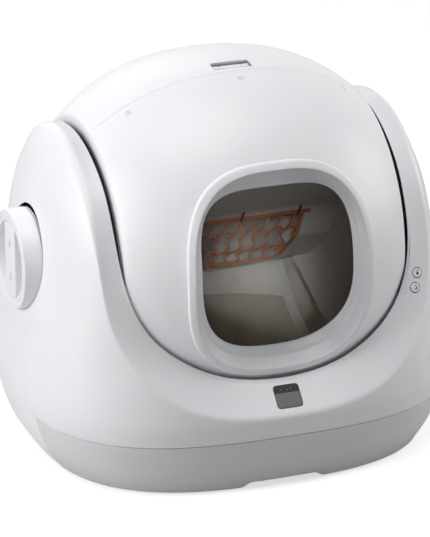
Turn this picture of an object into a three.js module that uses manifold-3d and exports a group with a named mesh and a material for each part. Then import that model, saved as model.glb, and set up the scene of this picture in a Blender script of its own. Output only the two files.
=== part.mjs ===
// Self-cleaning litter box: a drum on side bearings inside a moulded housing, with a waste drawer below.
// Millimetres. X runs along the drum's axis, the entry faces -Y and Z is up from the floor.
import * as THREE from 'three';
import { mergeVertices } from 'three/addons/utils/BufferGeometryUtils.js';
import Module from 'manifold-3d';

const wasm = await Module();
wasm.setup();

// Housing
const bodyHalfWidth = 310;
const bodyHalfDepth = 265;
const skinWall = 3;
const footHeight = 6;
const footRadius = 15;
const footInsetX = 125;
const footInsetY = 95;
const seamFront = 80.5;
const seamSide = 112;
const seamInset = 163;
const seamRun = 54;
const drawerDepth = 180;
const rearPanelDepth = 165;

// Skin sections from the floor to the ear tops: height, half-width and half-depth shares, then outline power
const skinShares = [
  [0, 0.871, 0.921, 2.7],
  [0.084, 0.948, 0.97, 2.75],
  [0.179, 0.99, 0.998, 2.8],
  [0.232, 1, 1, 2.8],
  [0.337, 0.987, 0.998, 2.85],
  [0.463, 0.958, 0.992, 2.95],
  [0.604, 0.919, 0.981, 3],
  [0.695, 0.903, 0.947, 3],
  [0.796, 0.877, 0.875, 3],
  [0.865, 0.848, 0.785, 3],
  [0.958, 0.794, 0.642, 3],
  [1, 0.761, 0.566, 3],
];

// Drum: a barrel of revolution about the X axis, as deep as the housing and as long as the ears allow.
const earWidth = 109;
const drumLift = 22;
const drumBulgeShare = 1.3706;
const drumPower = 2.227;
const drumWall = 3;
const lidSeamDeg = 74.5;
const endDiscThickness = 4;
const hubBore = 60.6;
const hubWall = 5.4;
const hubOut = 10;
const drumRadius = bodyHalfDepth;
const drumHalfLength = bodyHalfWidth - earWidth;
const drumBulge = drumHalfLength * drumBulgeShare;
const pivotHeight = drumRadius + drumLift;

// Ear tops above the pivot, and the collar round the drum: its inner edge beside the drum and the outer
// crease on the skin. Shares are of the drum's radius.
const earRiseShare = 0.7094;
const collarSideRoom = 8;
const collarEarRadiusShare = 0.683;
const collarEarDepthShare = 0.6906;
const collarMidShare = 0.0491;
const collarFrontRunShare = 0.2264;
const collarFrontDropShare = 0.5396;
const collarBackRunShare = 0.2755;
const collarBackDropShare = 0.434;
const collarReach = 3.5;
const creaseSideRoom = 37;
const creaseEarRadiusShare = 0.6943;
const creaseMidShare = 0.1321;
const creaseFrontDropShare = 0.8;
const creaseBackDropShare = 0.5849;
const creasePower = 2.3;
const earHeight = pivotHeight + drumRadius * earRiseShare;
const collarHalfWidth = drumHalfLength + collarSideRoom;
const collarEarRadius = drumRadius * collarEarRadiusShare;
const collarEarDepth = drumRadius * collarEarDepthShare;
const collarMid = pivotHeight + drumRadius * collarMidShare;
const creaseHalfWidth = drumHalfLength + creaseSideRoom;
const creaseEarRadius = drumRadius * creaseEarRadiusShare;
const creaseMid = pivotHeight + drumRadius * creaseMidShare;

// Entry: outline of the hole in the drum and of the inner opening. Shares are of the drum's radius.
const entrySideRoom = 74;
const entryLiftShare = 0.0453;
const entryRiseShare = 0.5472;
const entryFallShare = 0.4906;
const entryPower = 2.8;
const beadWidth = 8;
const beadRise = 5.5;
const beadLand = 4;
const beadLip = 0.45;
const throatInset = 18;
const throatLiftShare = 0.0642;
const throatHeightShare = 0.4302;
const throatTopPower = 3.6;
const throatLowPower = 2.6;
const throatDepthTop = 12;
const throatDepthLow = 20;
const throatStep = 5;
const entryHalfWidth = drumHalfLength - entrySideRoom;
const entryLift = drumRadius * entryLiftShare;
const entryRise = drumRadius * entryRiseShare;
const entryFall = drumRadius * entryFallShare;
const throatHalfWidth = entryHalfWidth - throatInset;
const throatLift = drumRadius * throatLiftShare;
const throatHalfHeight = drumRadius * throatHeightShare;

// Funnel: how far its bands have come from the bead to the throat, and then how deep they lie
const funnelShare = 0.4;
const brinkShare = 0.9;
const brinkDepthShare = 0.6;
const funnelBackShare = 0.6;
const funnelBackDepthShare = 0.5;

// Partition and sieve: one bent surface inside the drum, as depth and height shares of the drum's radius
const panelThickness = 3;
const panelShares = [
  [-0.717, 0.717],
  [0.1132, 0.0491],
  [0.2264, -0.1585],
  [0.4906, -0.366],
  [0.8113, -0.517],
  [0.9434, -0.566],
];
const sieveSideRoom = 55;
const sieveTab = 9;
const sieveRim = 5;
const sieveTopRim = 15;
const sieveStartShare = 0.1245;
const sieveStraightShare = 0.4528;
const sieveRoundShare = 0.3208;
const cellPitchX = 20.5;
const cellPitchRun = 61;
const cellRib = 3.4;
const cellStart = 23;
const cellRows = 4;
const hookWidth = 8;
const hookLength = 16;
const hookThickness = 4;
const hookShares = [-0.93, -0.33, 0.33, 0.93];

// One sieve hole between two zigzag ribs, as shares of the pitch across and of the pitch down the run.
// The next row starts at the last share but one, and is mirrored.
const cellShares = [
  [0, 0],
  [-0.415, 0.164],
  [-0.707, 0.377],
  [-0.22, 0.82],
  [-0.366, 1],
  [0.049, 1.164],
  [0.634, 1],
  [0.78, 0.82],
  [0.293, 0.377],
  [0.585, 0.164],
];
const rowStepShare = 0.634;

const panelRun = panelShares.map(([deep, up]) => [deep * drumRadius, up * drumRadius]);
const sieveHalfWidth = drumHalfLength - sieveSideRoom;
const sieveTabHalf = sieveHalfWidth + sieveTab;
const sieveStart = drumRadius * sieveStartShare;
const sieveStraight = drumRadius * sieveStraightShare;
const sieveRound = drumRadius * sieveRoundShare;

// Litter mat in the drum's floor
const matThickness = 4;
const matDropShare = 0.6302;
const matSideRoom = 16;
const matTop = pivotHeight - drumRadius * matDropShare;
const matHalfLength = drumHalfLength - matSideRoom;

// Gear train
const gearTeeth = 40;
const pinionTeeth = 10;
const gearModule = 4.4;
const gearWidth = 4.5;
const gearRimWidth = 12;
const pinionDeg = -50;
const toothBacklash = 0.5;
const toothTipShare = 0.85;
const toothRootShare = 1.05;
const toothHeadShare = 0.55;
const toothFootShare = 1.35;
const shaftRadius = 4;
const motorRadius = 19;
const motorLength = 42;
const gearboxLength = 16;
const gearboxRadius = 26;

// Side frames that carry the drum
const frameSideRoom = 8.5;
const framePlate = 3.5;
const frameInset = 22.9;
const frameFootHalf = 95;
const frameNeckInset = 22;
const frameFlange = 24;
const journalWall = 6;
const journalReach = 10;
const sealWidth = 7;
const sealDepth = 4;
const frameOffset = drumHalfLength + frameSideRoom;
const frameRadius = drumProfile(drumHalfLength) - frameInset;
const frameNeckHalf = frameRadius - frameNeckInset;

// Base
const floorThickness = 3;

// Waste drawer
const drawerFloorGap = 3;
const notchTopHalf = 47;
const notchLowHalf = 66;
const notchHeight = 11;
const notchDepth = 40;
const tubSideRoom = 1;
const tubBackRoom = 10;
const tubHeight = 68;
const tubWall = 2.5;
const sweepRoom = 13;
const drawerEnd = bodyHalfDepth - drawerDepth;
const tubHalfWidth = drumHalfLength - tubSideRoom;
const tubFront = bodyHalfDepth - skinWall;
const tubBack = drawerEnd + tubBackRoom;
const sweepRadius = drumRadius + sweepRoom;

// Filter side: knob, filter, duct and fan in line with the pivot on -X
const knobRecess = 2;
const knobDepth = 28.5;
const knobRadius = 70;
const knobEdge = 4;
const knobRoom = 2;
const pocketRadius = 54;
const gripHalfWidth = 22;
const pocketDepth = 18;
const spigotRadius = 50;
const spigotLength = 15;
const lugSize = 6;
const lugRise = 1.6;
const filterRadius = 46;
const filterLength = 18;
const ductFlange = 3;
const ductRadius = 57;
const ductWall = 4;
const fanSide = 104;
const fanDepth = 25;
const fanBore = 45;
const fanHubRadius = 15;
const fanHubLength = 14;
const fanBlades = 7;
const fanBladeThickness = 2;
const fanBladeDeg = 35;
const fanArmWidth = 7;
const fanArmDepth = 4;
const fanAxleRadius = 3;
const fanAxleLength = 6;
const knobFace = bodyHalfWidth - knobRecess;
const knobSeat = knobFace - knobDepth;
const knobHoleRadius = knobRadius + knobRoom;

// Display window and buttons on the collar
const displayShift = 2;
const collarDownShare = 0.5;
const displayWidth = 37;
const displayHeight = 34;
const displayCorner = 5;
const displayThickness = 3;
const boardThickness = 1.6;
const boardMargin = 3;
const buttonDegs = [75, 69];
const buttonRadius = 7;
const buttonLength = 10;
const buttonProud = 1;
const buttonTravel = 1.5;
const postRadius = 2;

// Lid latch and plugs on the drum's crown
const latchDeg = 79.3;
const latchLength = 52;
const latchWidth = 8;
const latchThickness = 3;
const latchTravel = 3;
const latchWell = 4;
const latchRim = 2;
const plugRadius = 4.3;
const plugDeg = 70.6;
const plugSideRoom = 43;
const plugProud = 0.3;
const plugDepth = 2.4;
const plugSpread = drumHalfLength - plugSideRoom;

// Electrics
const controlWidth = 70;
const controlHeight = 90;
const controlAcross = 40;
const controlLift = 60;
const controlPost = 6;
const socketSideRoom = 160;
const socketZ = 40;
const socketWidth = 18;
const socketHeight = 14;
const socketLength = 16;
const socketBore = 4.5;
const socketX = socketSideRoom - bodyHalfWidth;

// Gaps and facets
const gap = 0.3;
const seatGap = 0.8;
const drumGap = 2;
const runGap = 0.6;
const cutOver = 2;
const farAway = 900;
const weldStep = 1e-4;
const roundSides = 28;
const smallSides = 12;
const skinSides = 44;
const drumSides = 36;
const drumSlices = 10;
const seamSteps = 6;
const sieveSteps = 12;
const collarSteps = 8;
const earSteps = 12;
const entrySides = 40;

const turn = Math.PI * 2;
const radians = THREE.MathUtils.degToRad;

// Finishes
const finishes = {
  white: { color: '#eeeef0', roughness: 0.42, metalness: 0 },
  shade: { color: '#d4d4d8', roughness: 0.5, metalness: 0 },
  dark: { color: '#2a2b2d', roughness: 0.55, metalness: 0 },
  rubber: { color: '#3a3a3c', roughness: 0.85, metalness: 0 },
  orange: { color: '#e07a2c', roughness: 0.5, metalness: 0 },
  mat: { color: '#8b8778', roughness: 0.8, metalness: 0 },
  screen: { color: '#121214', roughness: 0.08, metalness: 0 },
  board: { color: '#1d5a3a', roughness: 0.6, metalness: 0 },
  steel: { color: '#9a9da1', roughness: 0.35, metalness: 1 },
  nylon: { color: '#cfcfc6', roughness: 0.55, metalness: 0 },
  grey: { color: '#7d7d80', roughness: 0.6, metalness: 0 },
};

const model = new THREE.Group();
model.name = 'litter_box';

// A closed three.js geometry as a solid that can be joined and cut
function solidFrom(geometry) {
  const bare = geometry.index ? geometry.toNonIndexed() : geometry.clone();
  bare.deleteAttribute('normal');
  bare.deleteAttribute('uv');
  const merged = mergeVertices(bare, weldStep);
  const index = merged.index.array;
  const corners = [];
  for (let i = 0; i < index.length; i += 3) {
    const [a, b, c] = [index[i], index[i + 1], index[i + 2]];
    if (a !== b && b !== c && c !== a) corners.push(a, b, c);
  }
  const vertProperties = new Float32Array(merged.attributes.position.array);
  return new wasm.Manifold(new wasm.Mesh({ numProp: 3, vertProperties, triVerts: new Uint32Array(corners) }));
}

// Adds a solid to the model as a named mesh with its own material
function addPart(name, solid, finish) {
  const data = solid.getMesh();
  const geometry = new THREE.BufferGeometry();
  const points = new Float32Array(data.numVert * 3);
  for (let i = 0; i < data.numVert; i += 1) {
    for (let k = 0; k < 3; k += 1) points[i * 3 + k] = data.vertProperties[i * data.numProp + k];
  }
  geometry.setAttribute('position', new THREE.BufferAttribute(points, 3));
  geometry.setIndex(Array.from(data.triVerts));
  geometry.computeVertexNormals();
  const mesh = new THREE.Mesh(geometry, new THREE.MeshStandardMaterial(finishes[finish]));
  mesh.name = name;
  model.add(mesh);
}

// Box between two corners
function block(x0, x1, y0, y1, z0, z1) {
  const box = new THREE.BoxGeometry(x1 - x0, y1 - y0, z1 - z0);
  box.translate((x0 + x1) / 2, (y0 + y1) / 2, (z0 + z1) / 2);
  return solidFrom(box);
}

// Round bar along X about a point of the YZ plane
function barX(x0, x1, radius, y = 0, z = pivotHeight, sides = roundSides) {
  const bar = new THREE.CylinderGeometry(radius, radius, x1 - x0, sides);
  bar.rotateZ(-Math.PI / 2);
  bar.translate((x0 + x1) / 2, y, z);
  return solidFrom(bar);
}

// Ring along X about the pivot axis
function ringX(x0, x1, inner, outer, sides = roundSides) {
  return barX(x0, x1, outer, 0, pivotHeight, sides)
    .subtract(barX(x0 - cutOver, x1 + cutOver, inner, 0, pivotHeight, sides));
}

// Outline in the YZ plane extruded along X
function prismX(points, x0, x1) {
  const shape = new THREE.Shape(points.map(([y, z]) => new THREE.Vector2(y, z)));
  const body = new THREE.ExtrudeGeometry(shape, { depth: x1 - x0, bevelEnabled: false });
  const along = new THREE.Matrix4().makeBasis(
    new THREE.Vector3(0, 1, 0), new THREE.Vector3(0, 0, 1), new THREE.Vector3(1, 0, 0));
  body.applyMatrix4(along);
  body.translate(x0, 0, 0);
  return solidFrom(body);
}

// Outline in the XZ plane extruded along Y
function prismY(points, y0, y1) {
  const shape = new THREE.Shape(points.map(([x, z]) => new THREE.Vector2(x, z)));
  const body = new THREE.ExtrudeGeometry(shape, { depth: y1 - y0, bevelEnabled: false });
  body.rotateX(Math.PI / 2);
  body.translate(0, y1, 0);
  return solidFrom(body);
}

// Outline in the XY plane extruded along Z
function prismZ(points, z0, z1) {
  const shape = new THREE.Shape(points.map(([x, y]) => new THREE.Vector2(x, y)));
  const body = new THREE.ExtrudeGeometry(shape, { depth: z1 - z0, bevelEnabled: false });
  body.translate(0, 0, z0);
  return solidFrom(body);
}

// Closed rings of equal point counts, stretched between one another and capped at both ends
function loft(rings) {
  const count = rings[0].length;
  const points = rings.flat();
  const middle = (ring) => ring.reduce((sum, p) => sum.add(p), new THREE.Vector3()).divideScalar(count);
  points.push(middle(rings[0]), middle(rings[rings.length - 1]));
  const index = [];
  for (let r = 0; r + 1 < rings.length; r += 1) {
    for (let i = 0; i < count; i += 1) {
      const j = (i + 1) % count;
      const [a, b, c, d] = [r * count + i, r * count + j, (r + 1) * count + j, (r + 1) * count + i];
      index.push(a, b, c, a, c, d);
    }
  }
  const last = (rings.length - 1) * count;
  for (let i = 0; i < count; i += 1) {
    const j = (i + 1) % count;
    index.push(points.length - 2, j, i);
    index.push(points.length - 1, last + i, last + j);
  }
  return solidFrom(indexed(points, index));
}

// Closed rings stretched between one another and back to the first, as a frame
function loopLoft(rings) {
  const count = rings[0].length;
  const index = [];
  for (let r = 0; r < rings.length; r += 1) {
    const next = (r + 1) % rings.length;
    for (let i = 0; i < count; i += 1) {
      const j = (i + 1) % count;
      const [a, b, c, d] = [r * count + i, r * count + j, next * count + j, next * count + i];
      index.push(a, b, c, a, c, d);
    }
  }
  return solidFrom(indexed(rings.flat(), index));
}

function indexed(points, index) {
  const geometry = new THREE.BufferGeometry().setFromPoints(points);
  geometry.setIndex(index);
  return geometry;
}

// Half-width, half-depth and outline power of the skin at a height
function skinSection(z) {
  const share = THREE.MathUtils.clamp(z / earHeight, 0, 1);
  let k = 0;
  while (k + 2 < skinShares.length && skinShares[k + 1][0] < share) k += 1;
  const [low, high] = [skinShares[k], skinShares[k + 1]];
  const f = (share - low[0]) / (high[0] - low[0]);
  const mix = (i) => low[i] + (high[i] - low[i]) * f;
  return { a: mix(1) * bodyHalfWidth, b: mix(2) * bodyHalfDepth, n: mix(3) };
}

// One horizontal ring of the skin, drawn in by an inset
function skinRing(z, inset) {
  const { a, b, n } = skinSection(z);
  const ring = [];
  for (let i = 0; i < skinSides; i += 1) {
    const t = (i / skinSides) * turn;
    const across = Math.abs(Math.sin(t) / (a - inset)) ** n;
    const deep = Math.abs(Math.cos(t) / (b - inset)) ** n;
    const r = (across + deep) ** (-1 / n);
    ring.push(new THREE.Vector3(r * Math.sin(t), -r * Math.cos(t), z));
  }
  return ring;
}

// The housing's outer volume between two heights, drawn in by an inset
function skinSolid(from, to, inset) {
  const levels = skinShares.map(([share]) => share * earHeight);
  const heights = levels.filter((z) => z > from + gap && z < to - gap);
  return loft([from, ...heights, to].map((z) => skinRing(z, inset)));
}

// Depth of the skin in front of or behind the axis at a place across and a height
function skinDepth(x, z) {
  const { a, b, n } = skinSection(z);
  return b * (1 - Math.min(1, Math.abs(x / a)) ** n) ** (1 / n);
}

// Half-width of the skin at a depth and a height
function skinWidth(y, z) {
  const { a, b, n } = skinSection(z);
  return a * (1 - Math.min(1, Math.abs(y / b)) ** n) ** (1 / n);
}

// Drum radius at a place along its axis
function drumProfile(x) {
  return drumRadius * (1 - Math.abs(x / drumBulge) ** drumPower) ** (1 / drumPower);
}

// Solid of revolution inside the drum's surface, drawn in by an inset and cut square at a half-length
function drumSolid(half, inset) {
  const end = drumHalfLength + 2 * cutOver;
  const profile = [new THREE.Vector2(0, -end), new THREE.Vector2(drumProfile(drumHalfLength) - inset, -end)];
  for (let i = 0; i <= drumSlices; i += 1) {
    const x = drumHalfLength * ((2 * i) / drumSlices - 1);
    profile.push(new THREE.Vector2(drumProfile(x) - inset, x));
  }
  profile.push(new THREE.Vector2(drumProfile(drumHalfLength) - inset, end), new THREE.Vector2(0, end));
  const body = new THREE.LatheGeometry(profile, drumSides);
  body.rotateZ(-Math.PI / 2);
  body.translate(0, 0, pivotHeight);
  return solidFrom(body).intersect(block(-half, half, -farAway, farAway, -farAway, farAway));
}

// Wedge of the space in front of the pivot between the two lid seams, grown or drawn in by an offset
function frontWedge(offset) {
  const a = radians(lidSeamDeg);
  const tip = offset / Math.cos(a);
  return prismX([
    [tip, pivotHeight],
    [tip - farAway * Math.cos(a), pivotHeight - farAway * Math.sin(a)],
    [-farAway, pivotHeight - farAway],
    [-farAway, pivotHeight + farAway],
    [tip - farAway * Math.cos(a), pivotHeight + farAway * Math.sin(a)],
  ].reverse(), -farAway, farAway);
}

// The collar's inner edge and crease at an angle from its middle, in front (way -1) or behind (way 1)
function collarPair(t, way) {
  const c = Math.cos(t);
  const [runShare, dropShare, creaseDropShare] = way < 0
    ? [collarFrontRunShare, collarFrontDropShare, creaseFrontDropShare]
    : [collarBackRunShare, collarBackDropShare, creaseBackDropShare];
  const y = way * (collarEarDepth + drumRadius * runShare * c);
  const edge = new THREE.Vector3(collarHalfWidth * Math.sin(t), y, collarMid - drumRadius * dropShare * c);
  const x = creaseHalfWidth * (1 - c ** creasePower) ** (1 / creasePower);
  const z = creaseMid - drumRadius * creaseDropShare * c;
  return [edge, new THREE.Vector3(x, way * skinDepth(x, z), z)];
}

// The same pair beside the drum's end, at a share of the way over the ear from the front
function earPair(share) {
  const low = Math.asin((collarMid - pivotHeight) / collarEarDepth);
  const lowCrease = Math.asin((creaseMid - pivotHeight) / creaseEarRadius);
  const at = low + (Math.PI - 2 * low) * share;
  const atCrease = lowCrease + (Math.PI - 2 * lowCrease) * share;
  const radius = collarEarDepth + (collarEarRadius - collarEarDepth) * Math.sin(at);
  const edgeY = -radius * Math.cos(at);
  const edge = new THREE.Vector3(collarHalfWidth, edgeY, pivotHeight + radius * Math.sin(at));
  const y = -creaseEarRadius * Math.cos(atCrease);
  const z = pivotHeight + creaseEarRadius * Math.sin(atCrease);
  return [edge, new THREE.Vector3(skinWidth(y, z), y, z)];
}

// Pairs all round the drum, from the middle of the front over the right ear and back over the left
function collarEdges() {
  const angle = (i) => ((i / collarSteps) * Math.PI) / 2;
  const half = [];
  for (let i = 0; i < collarSteps; i += 1) half.push(collarPair(angle(i), -1));
  for (let i = 0; i < earSteps; i += 1) half.push(earPair(i / earSteps));
  for (let i = collarSteps; i >= 0; i -= 1) half.push(collarPair(angle(i), 1));
  const mirrored = (point) => new THREE.Vector3(-point.x, point.y, point.z);
  const left = half.slice(1, -1).reverse().map((pair) => pair.map(mirrored));
  return [...half, ...left];
}

// Outward normal of the collar's band at one of its edge pairs
function collarNormal(pairs, i) {
  const count = pairs.length;
  const ahead = pairs[(i + 1) % count];
  const behind = pairs[(i + count - 1) % count];
  const middle = (pair) => pair[0].clone().add(pair[1]);
  const along = middle(ahead).sub(middle(behind));
  const across = pairs[i][1].clone().sub(pairs[i][0]);
  return across.cross(along).normalize();
}

// Everything inside and above the collar, sunk into the housing by a depth
function mouthCutter(depth) {
  const pairs = collarEdges();
  const centre = new THREE.Vector3(0, 0, pivotHeight);
  const inner = [];
  const outer = [];
  const far = [];
  pairs.forEach(([edge, crease], i) => {
    const shift = collarNormal(pairs, i).multiplyScalar(-depth);
    const from = edge.clone().add(shift);
    const to = from.clone().addScaledVector(crease.clone().sub(edge), collarReach);
    inner.push(from);
    outer.push(to);
    far.push(centre.clone().addScaledVector(to.clone().sub(centre), collarReach));
  });
  const points = [centre, ...inner, ...outer, ...far, new THREE.Vector3(0, 0, farAway * collarReach)];
  const count = inner.length;
  const index = [];
  for (let i = 0; i < count; i += 1) {
    const j = (i + 1) % count;
    index.push(0, 1 + j, 1 + i);
    for (let r = 0; r < 2; r += 1) {
      const [a, b] = [1 + r * count + i, 1 + r * count + j];
      index.push(a, b, b + count, a, b + count, a + count);
    }
    index.push(1 + 2 * count + i, 1 + 2 * count + j, points.length - 1);
  }
  return solidFrom(indexed(points, index));
}

// A point on the front of the collar's band, its outward normal and the direction down the band
function collarSeat(degrees, down) {
  const [edge, crease] = collarPair(radians(degrees), -1);
  const [edgeOn, creaseOn] = collarPair(radians(degrees + 1), -1);
  const point = edge.clone().lerp(crease, down);
  const along = edgeOn.lerp(creaseOn, down).sub(point).normalize();
  const across = crease.sub(edge).normalize();
  const normal = across.clone().cross(along).normalize();
  return { point, normal, across, along: normal.clone().cross(across) };
}

// Moves a solid built about the origin, with +Z as its outward way, onto a seat of the collar
function placed(geometry, seat, lift) {
  const spot = seat.point.clone().addScaledVector(seat.normal, lift);
  const up = seat.across.clone().negate();
  const basis = new THREE.Matrix4().makeBasis(seat.along, up, seat.normal);
  if (basis.determinant() < 0) basis.makeBasis(seat.along.clone().negate(), up, seat.normal);
  basis.setPosition(spot);
  geometry.applyMatrix4(basis);
  return solidFrom(geometry);
}

// Peg along a seat's outward way, between two lifts
function peg(seat, from, to, radius) {
  const bar = new THREE.CylinderGeometry(radius, radius, to - from, smallSides);
  bar.rotateX(Math.PI / 2);
  return placed(bar, seat, (from + to) / 2);
}

// Rounded plate across a seat, between two lifts
function plate(seat, from, to, width, height, corner) {
  const [w, h] = [width / 2, height / 2];
  const shape = new THREE.Shape();
  shape.moveTo(-w + corner, -h);
  shape.lineTo(w - corner, -h);
  shape.absarc(w - corner, -h + corner, corner, -Math.PI / 2, 0, false);
  shape.absarc(w - corner, h - corner, corner, 0, Math.PI / 2, false);
  shape.absarc(-w + corner, h - corner, corner, Math.PI / 2, Math.PI, false);
  shape.absarc(-w + corner, -h + corner, corner, Math.PI, Math.PI * 1.5, false);
  const body = new THREE.ExtrudeGeometry(shape, { depth: to - from, bevelEnabled: false, curveSegments: 4 });
  return placed(body, seat, from);
}

// Space below the line where the base meets the upper housing, raised by an offset
function belowSeam(lift) {
  const start = seamInset - bodyHalfDepth;
  const points = [[-farAway, -farAway], [farAway, -farAway], [farAway, seamSide + lift]];
  for (let i = seamSteps; i >= 0; i -= 1) {
    const share = i / seamSteps;
    const rise = (1 - Math.cos(share * Math.PI)) / 2;
    points.push([start + seamRun * share, seamFront + (seamSide - seamFront) * rise + lift]);
  }
  points.push([-farAway, seamFront + lift]);
  return prismX(points, -farAway, farAway);
}

const displaySeat = collarSeat(0, collarDownShare);
displaySeat.point.x += displayShift;
const buttonSeats = buttonDegs.map((deg) => collarSeat(deg, collarDownShare));
const socketWall = skinDepth(socketX, socketZ);

function buildHousing() {
  const outer = skinSolid(seamFront / 2, earHeight, 0).subtract(mouthCutter(0));
  const hollow = skinSolid(-cutOver, earHeight - skinWall, skinWall).subtract(mouthCutter(skinWall));
  let shell = outer.subtract(hollow).subtract(belowSeam(gap / 2))
    .subtract(drumSolid(drumHalfLength + 2 * drumGap, -drumGap))
    .subtract(drumSolid(entryHalfWidth + beadWidth + drumGap, -beadRise - drumGap))
    .subtract(barX(-farAway, -ductRadius, knobHoleRadius));
  const through = skinWall + cutOver;
  shell = shell.subtract(
    plate(displaySeat, -through, cutOver, displayWidth + 2 * gap, displayHeight + 2 * gap, displayCorner));
  buttonSeats.forEach((seat) => {
    shell = shell.subtract(peg(seat, -through, cutOver, buttonRadius + runGap / 2));
  });
  addPart('body_shell', shell, 'white');
}

// Space for the fingers under the drawer's lower edge
function fingerNotch() {
  return prismY([
    [-notchLowHalf, 0], [notchLowHalf, 0], [notchTopHalf, notchHeight], [-notchTopHalf, notchHeight],
  ], -farAway, -bodyHalfDepth + notchDepth);
}

function buildBase() {
  const floorTop = footHeight + floorThickness;
  const rearPanelStart = bodyHalfDepth - rearPanelDepth;
  const full = skinSolid(footHeight, seamSide + cutOver, 0);
  const inside = skinSolid(floorTop, seamSide + 2 * cutOver, skinWall);
  const wall = full.subtract(inside).intersect(belowSeam(-gap / 2));
  const frontSpace = block(-farAway, farAway, -farAway, -drawerEnd + gap / 2, -farAway, farAway);
  const rearSpace = block(-farAway, farAway, rearPanelStart, farAway, floorTop, farAway);
  const floorSlab = skinSolid(footHeight, floorTop, skinWall + gap);
  const base = wall.subtract(frontSpace).subtract(rearSpace).add(floorSlab).subtract(fingerNotch());
  addPart('base_pan', base, 'white');

  const rearKeep = block(-farAway, farAway, rearPanelStart + gap, farAway, floorTop + gap, farAway);
  const socketHole = block(
    socketX - socketWidth / 2 - gap, socketX + socketWidth / 2 + gap, socketWall - socketLength, farAway,
    socketZ - socketHeight / 2 - gap, socketZ + socketHeight / 2 + gap);
  addPart('rear_panel', wall.intersect(rearKeep).subtract(socketHole), 'white');

  const [footX, footY] = [bodyHalfWidth - footInsetX, bodyHalfDepth - footInsetY];
  const feet = [
    ['foot_front_left', -footX, -footY], ['foot_front_right', footX, -footY],
    ['foot_rear_left', -footX, footY], ['foot_rear_right', footX, footY],
  ];
  feet.forEach(([name, x, y]) => {
    const foot = new THREE.CylinderGeometry(footRadius, footRadius, footHeight - gap, smallSides);
    foot.rotateX(Math.PI / 2);
    foot.translate(x, y, (footHeight - gap) / 2);
    addPart(name, solidFrom(foot), 'rubber');
  });
}

function buildDrawer() {
  const top = seamFront - gap;
  const outer = skinSolid(drawerFloorGap, top, 0);
  const inner = skinSolid(0, seamSide, skinWall);
  const frontHalf = block(-farAway, farAway, -farAway, -drawerEnd, -farAway, farAway);
  addPart('drawer_front', outer.subtract(inner).intersect(frontHalf).subtract(fingerNotch()), 'white');

  const low = footHeight + floorThickness + gap;
  const high = low + tubHeight;
  const bound = block(-tubHalfWidth, tubHalfWidth, -tubFront, -tubBack, low, high);
  const inWidth = tubHalfWidth - tubWall;
  const spare = block(-inWidth, inWidth, -tubFront, -tubBack - tubWall, low + tubWall, high + cutOver);
  const shaped = skinSolid(0, seamSide, skinWall + gap).intersect(bound);
  const hollow = skinSolid(0, seamSide, skinWall + gap + tubWall).intersect(spare);
  const sweep = barX(-farAway, farAway, sweepRadius, 0, pivotHeight, skinSides);
  addPart('waste_tub', shaped.subtract(hollow).subtract(sweep), 'grey');
}

// Upright frame with its journal for the drum's hub; side is -1 on the left and 1 on the right
function sideFrame(side) {
  const low = footHeight + floorThickness + gap;
  const [near, away] = [frameOffset, frameOffset + framePlate];
  const span = (a, b) => (side > 0 ? [a, b] : [-b, -a]);
  const disc = barX(...span(near, away), frameRadius);
  const tower = prismX([
    [-frameFootHalf, low], [frameFootHalf, low], [frameNeckHalf, pivotHeight], [-frameFootHalf, pivotHeight],
  ], ...span(near, away));
  const [flangeLow, flangeHigh] = span(near, near + frameFlange);
  const flange = block(flangeLow, flangeHigh, -frameFootHalf, frameFootHalf, low, low + framePlate);
  const journal = barX(...span(near - journalReach, away), hubBore - runGap);
  const bore = barX(...span(near - 2 * journalReach, away + cutOver), hubBore - runGap - journalWall);
  return disc.add(tower).add(flange).add(journal).subtract(bore);
}

const gearRadius = (gearTeeth * gearModule) / 2;
const pinionRadius = (pinionTeeth * gearModule) / 2;
const axleY = Math.cos(radians(pinionDeg)) * (gearRadius + pinionRadius);
const axleZ = pivotHeight + Math.sin(radians(pinionDeg)) * (gearRadius + pinionRadius);

function buildFrames() {
  const shaftHole = barX(0, farAway, shaftRadius + runGap, axleY, axleZ, smallSides);
  addPart('left_side_frame', sideFrame(-1), 'dark');
  addPart('right_side_frame', sideFrame(1).subtract(shaftHole), 'dark');
  const face = frameOffset - gap;
  addPart('left_gap_seal', ringX(-face, sealDepth - face, frameRadius - sealWidth, frameRadius), 'dark');
  addPart('right_gap_seal', ringX(face - sealDepth, face, frameRadius - sealWidth, frameRadius), 'dark');
}

// Outline of spur teeth in the YZ plane about a centre
function toothOutline(teeth, centreY, centreZ, phase) {
  const pitch = (teeth * gearModule) / 2;
  const tip = pitch + gearModule * toothTipShare;
  const root = pitch - gearModule * toothRootShare;
  const thick = (Math.PI * gearModule) / 2 - toothBacklash;
  const half = thick / 2 / pitch;
  const points = [];
  for (let i = 0; i < teeth; i += 1) {
    const mid = phase + (i / teeth) * turn;
    const flanks = [
      [root, -toothFootShare], [tip, -toothHeadShare], [tip, toothHeadShare], [root, toothFootShare],
    ];
    flanks.forEach(([r, spread]) => {
      const a = mid + half * spread;
      points.push([centreY + r * Math.cos(a), centreZ + r * Math.sin(a)]);
    });
  }
  return points;
}

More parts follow.
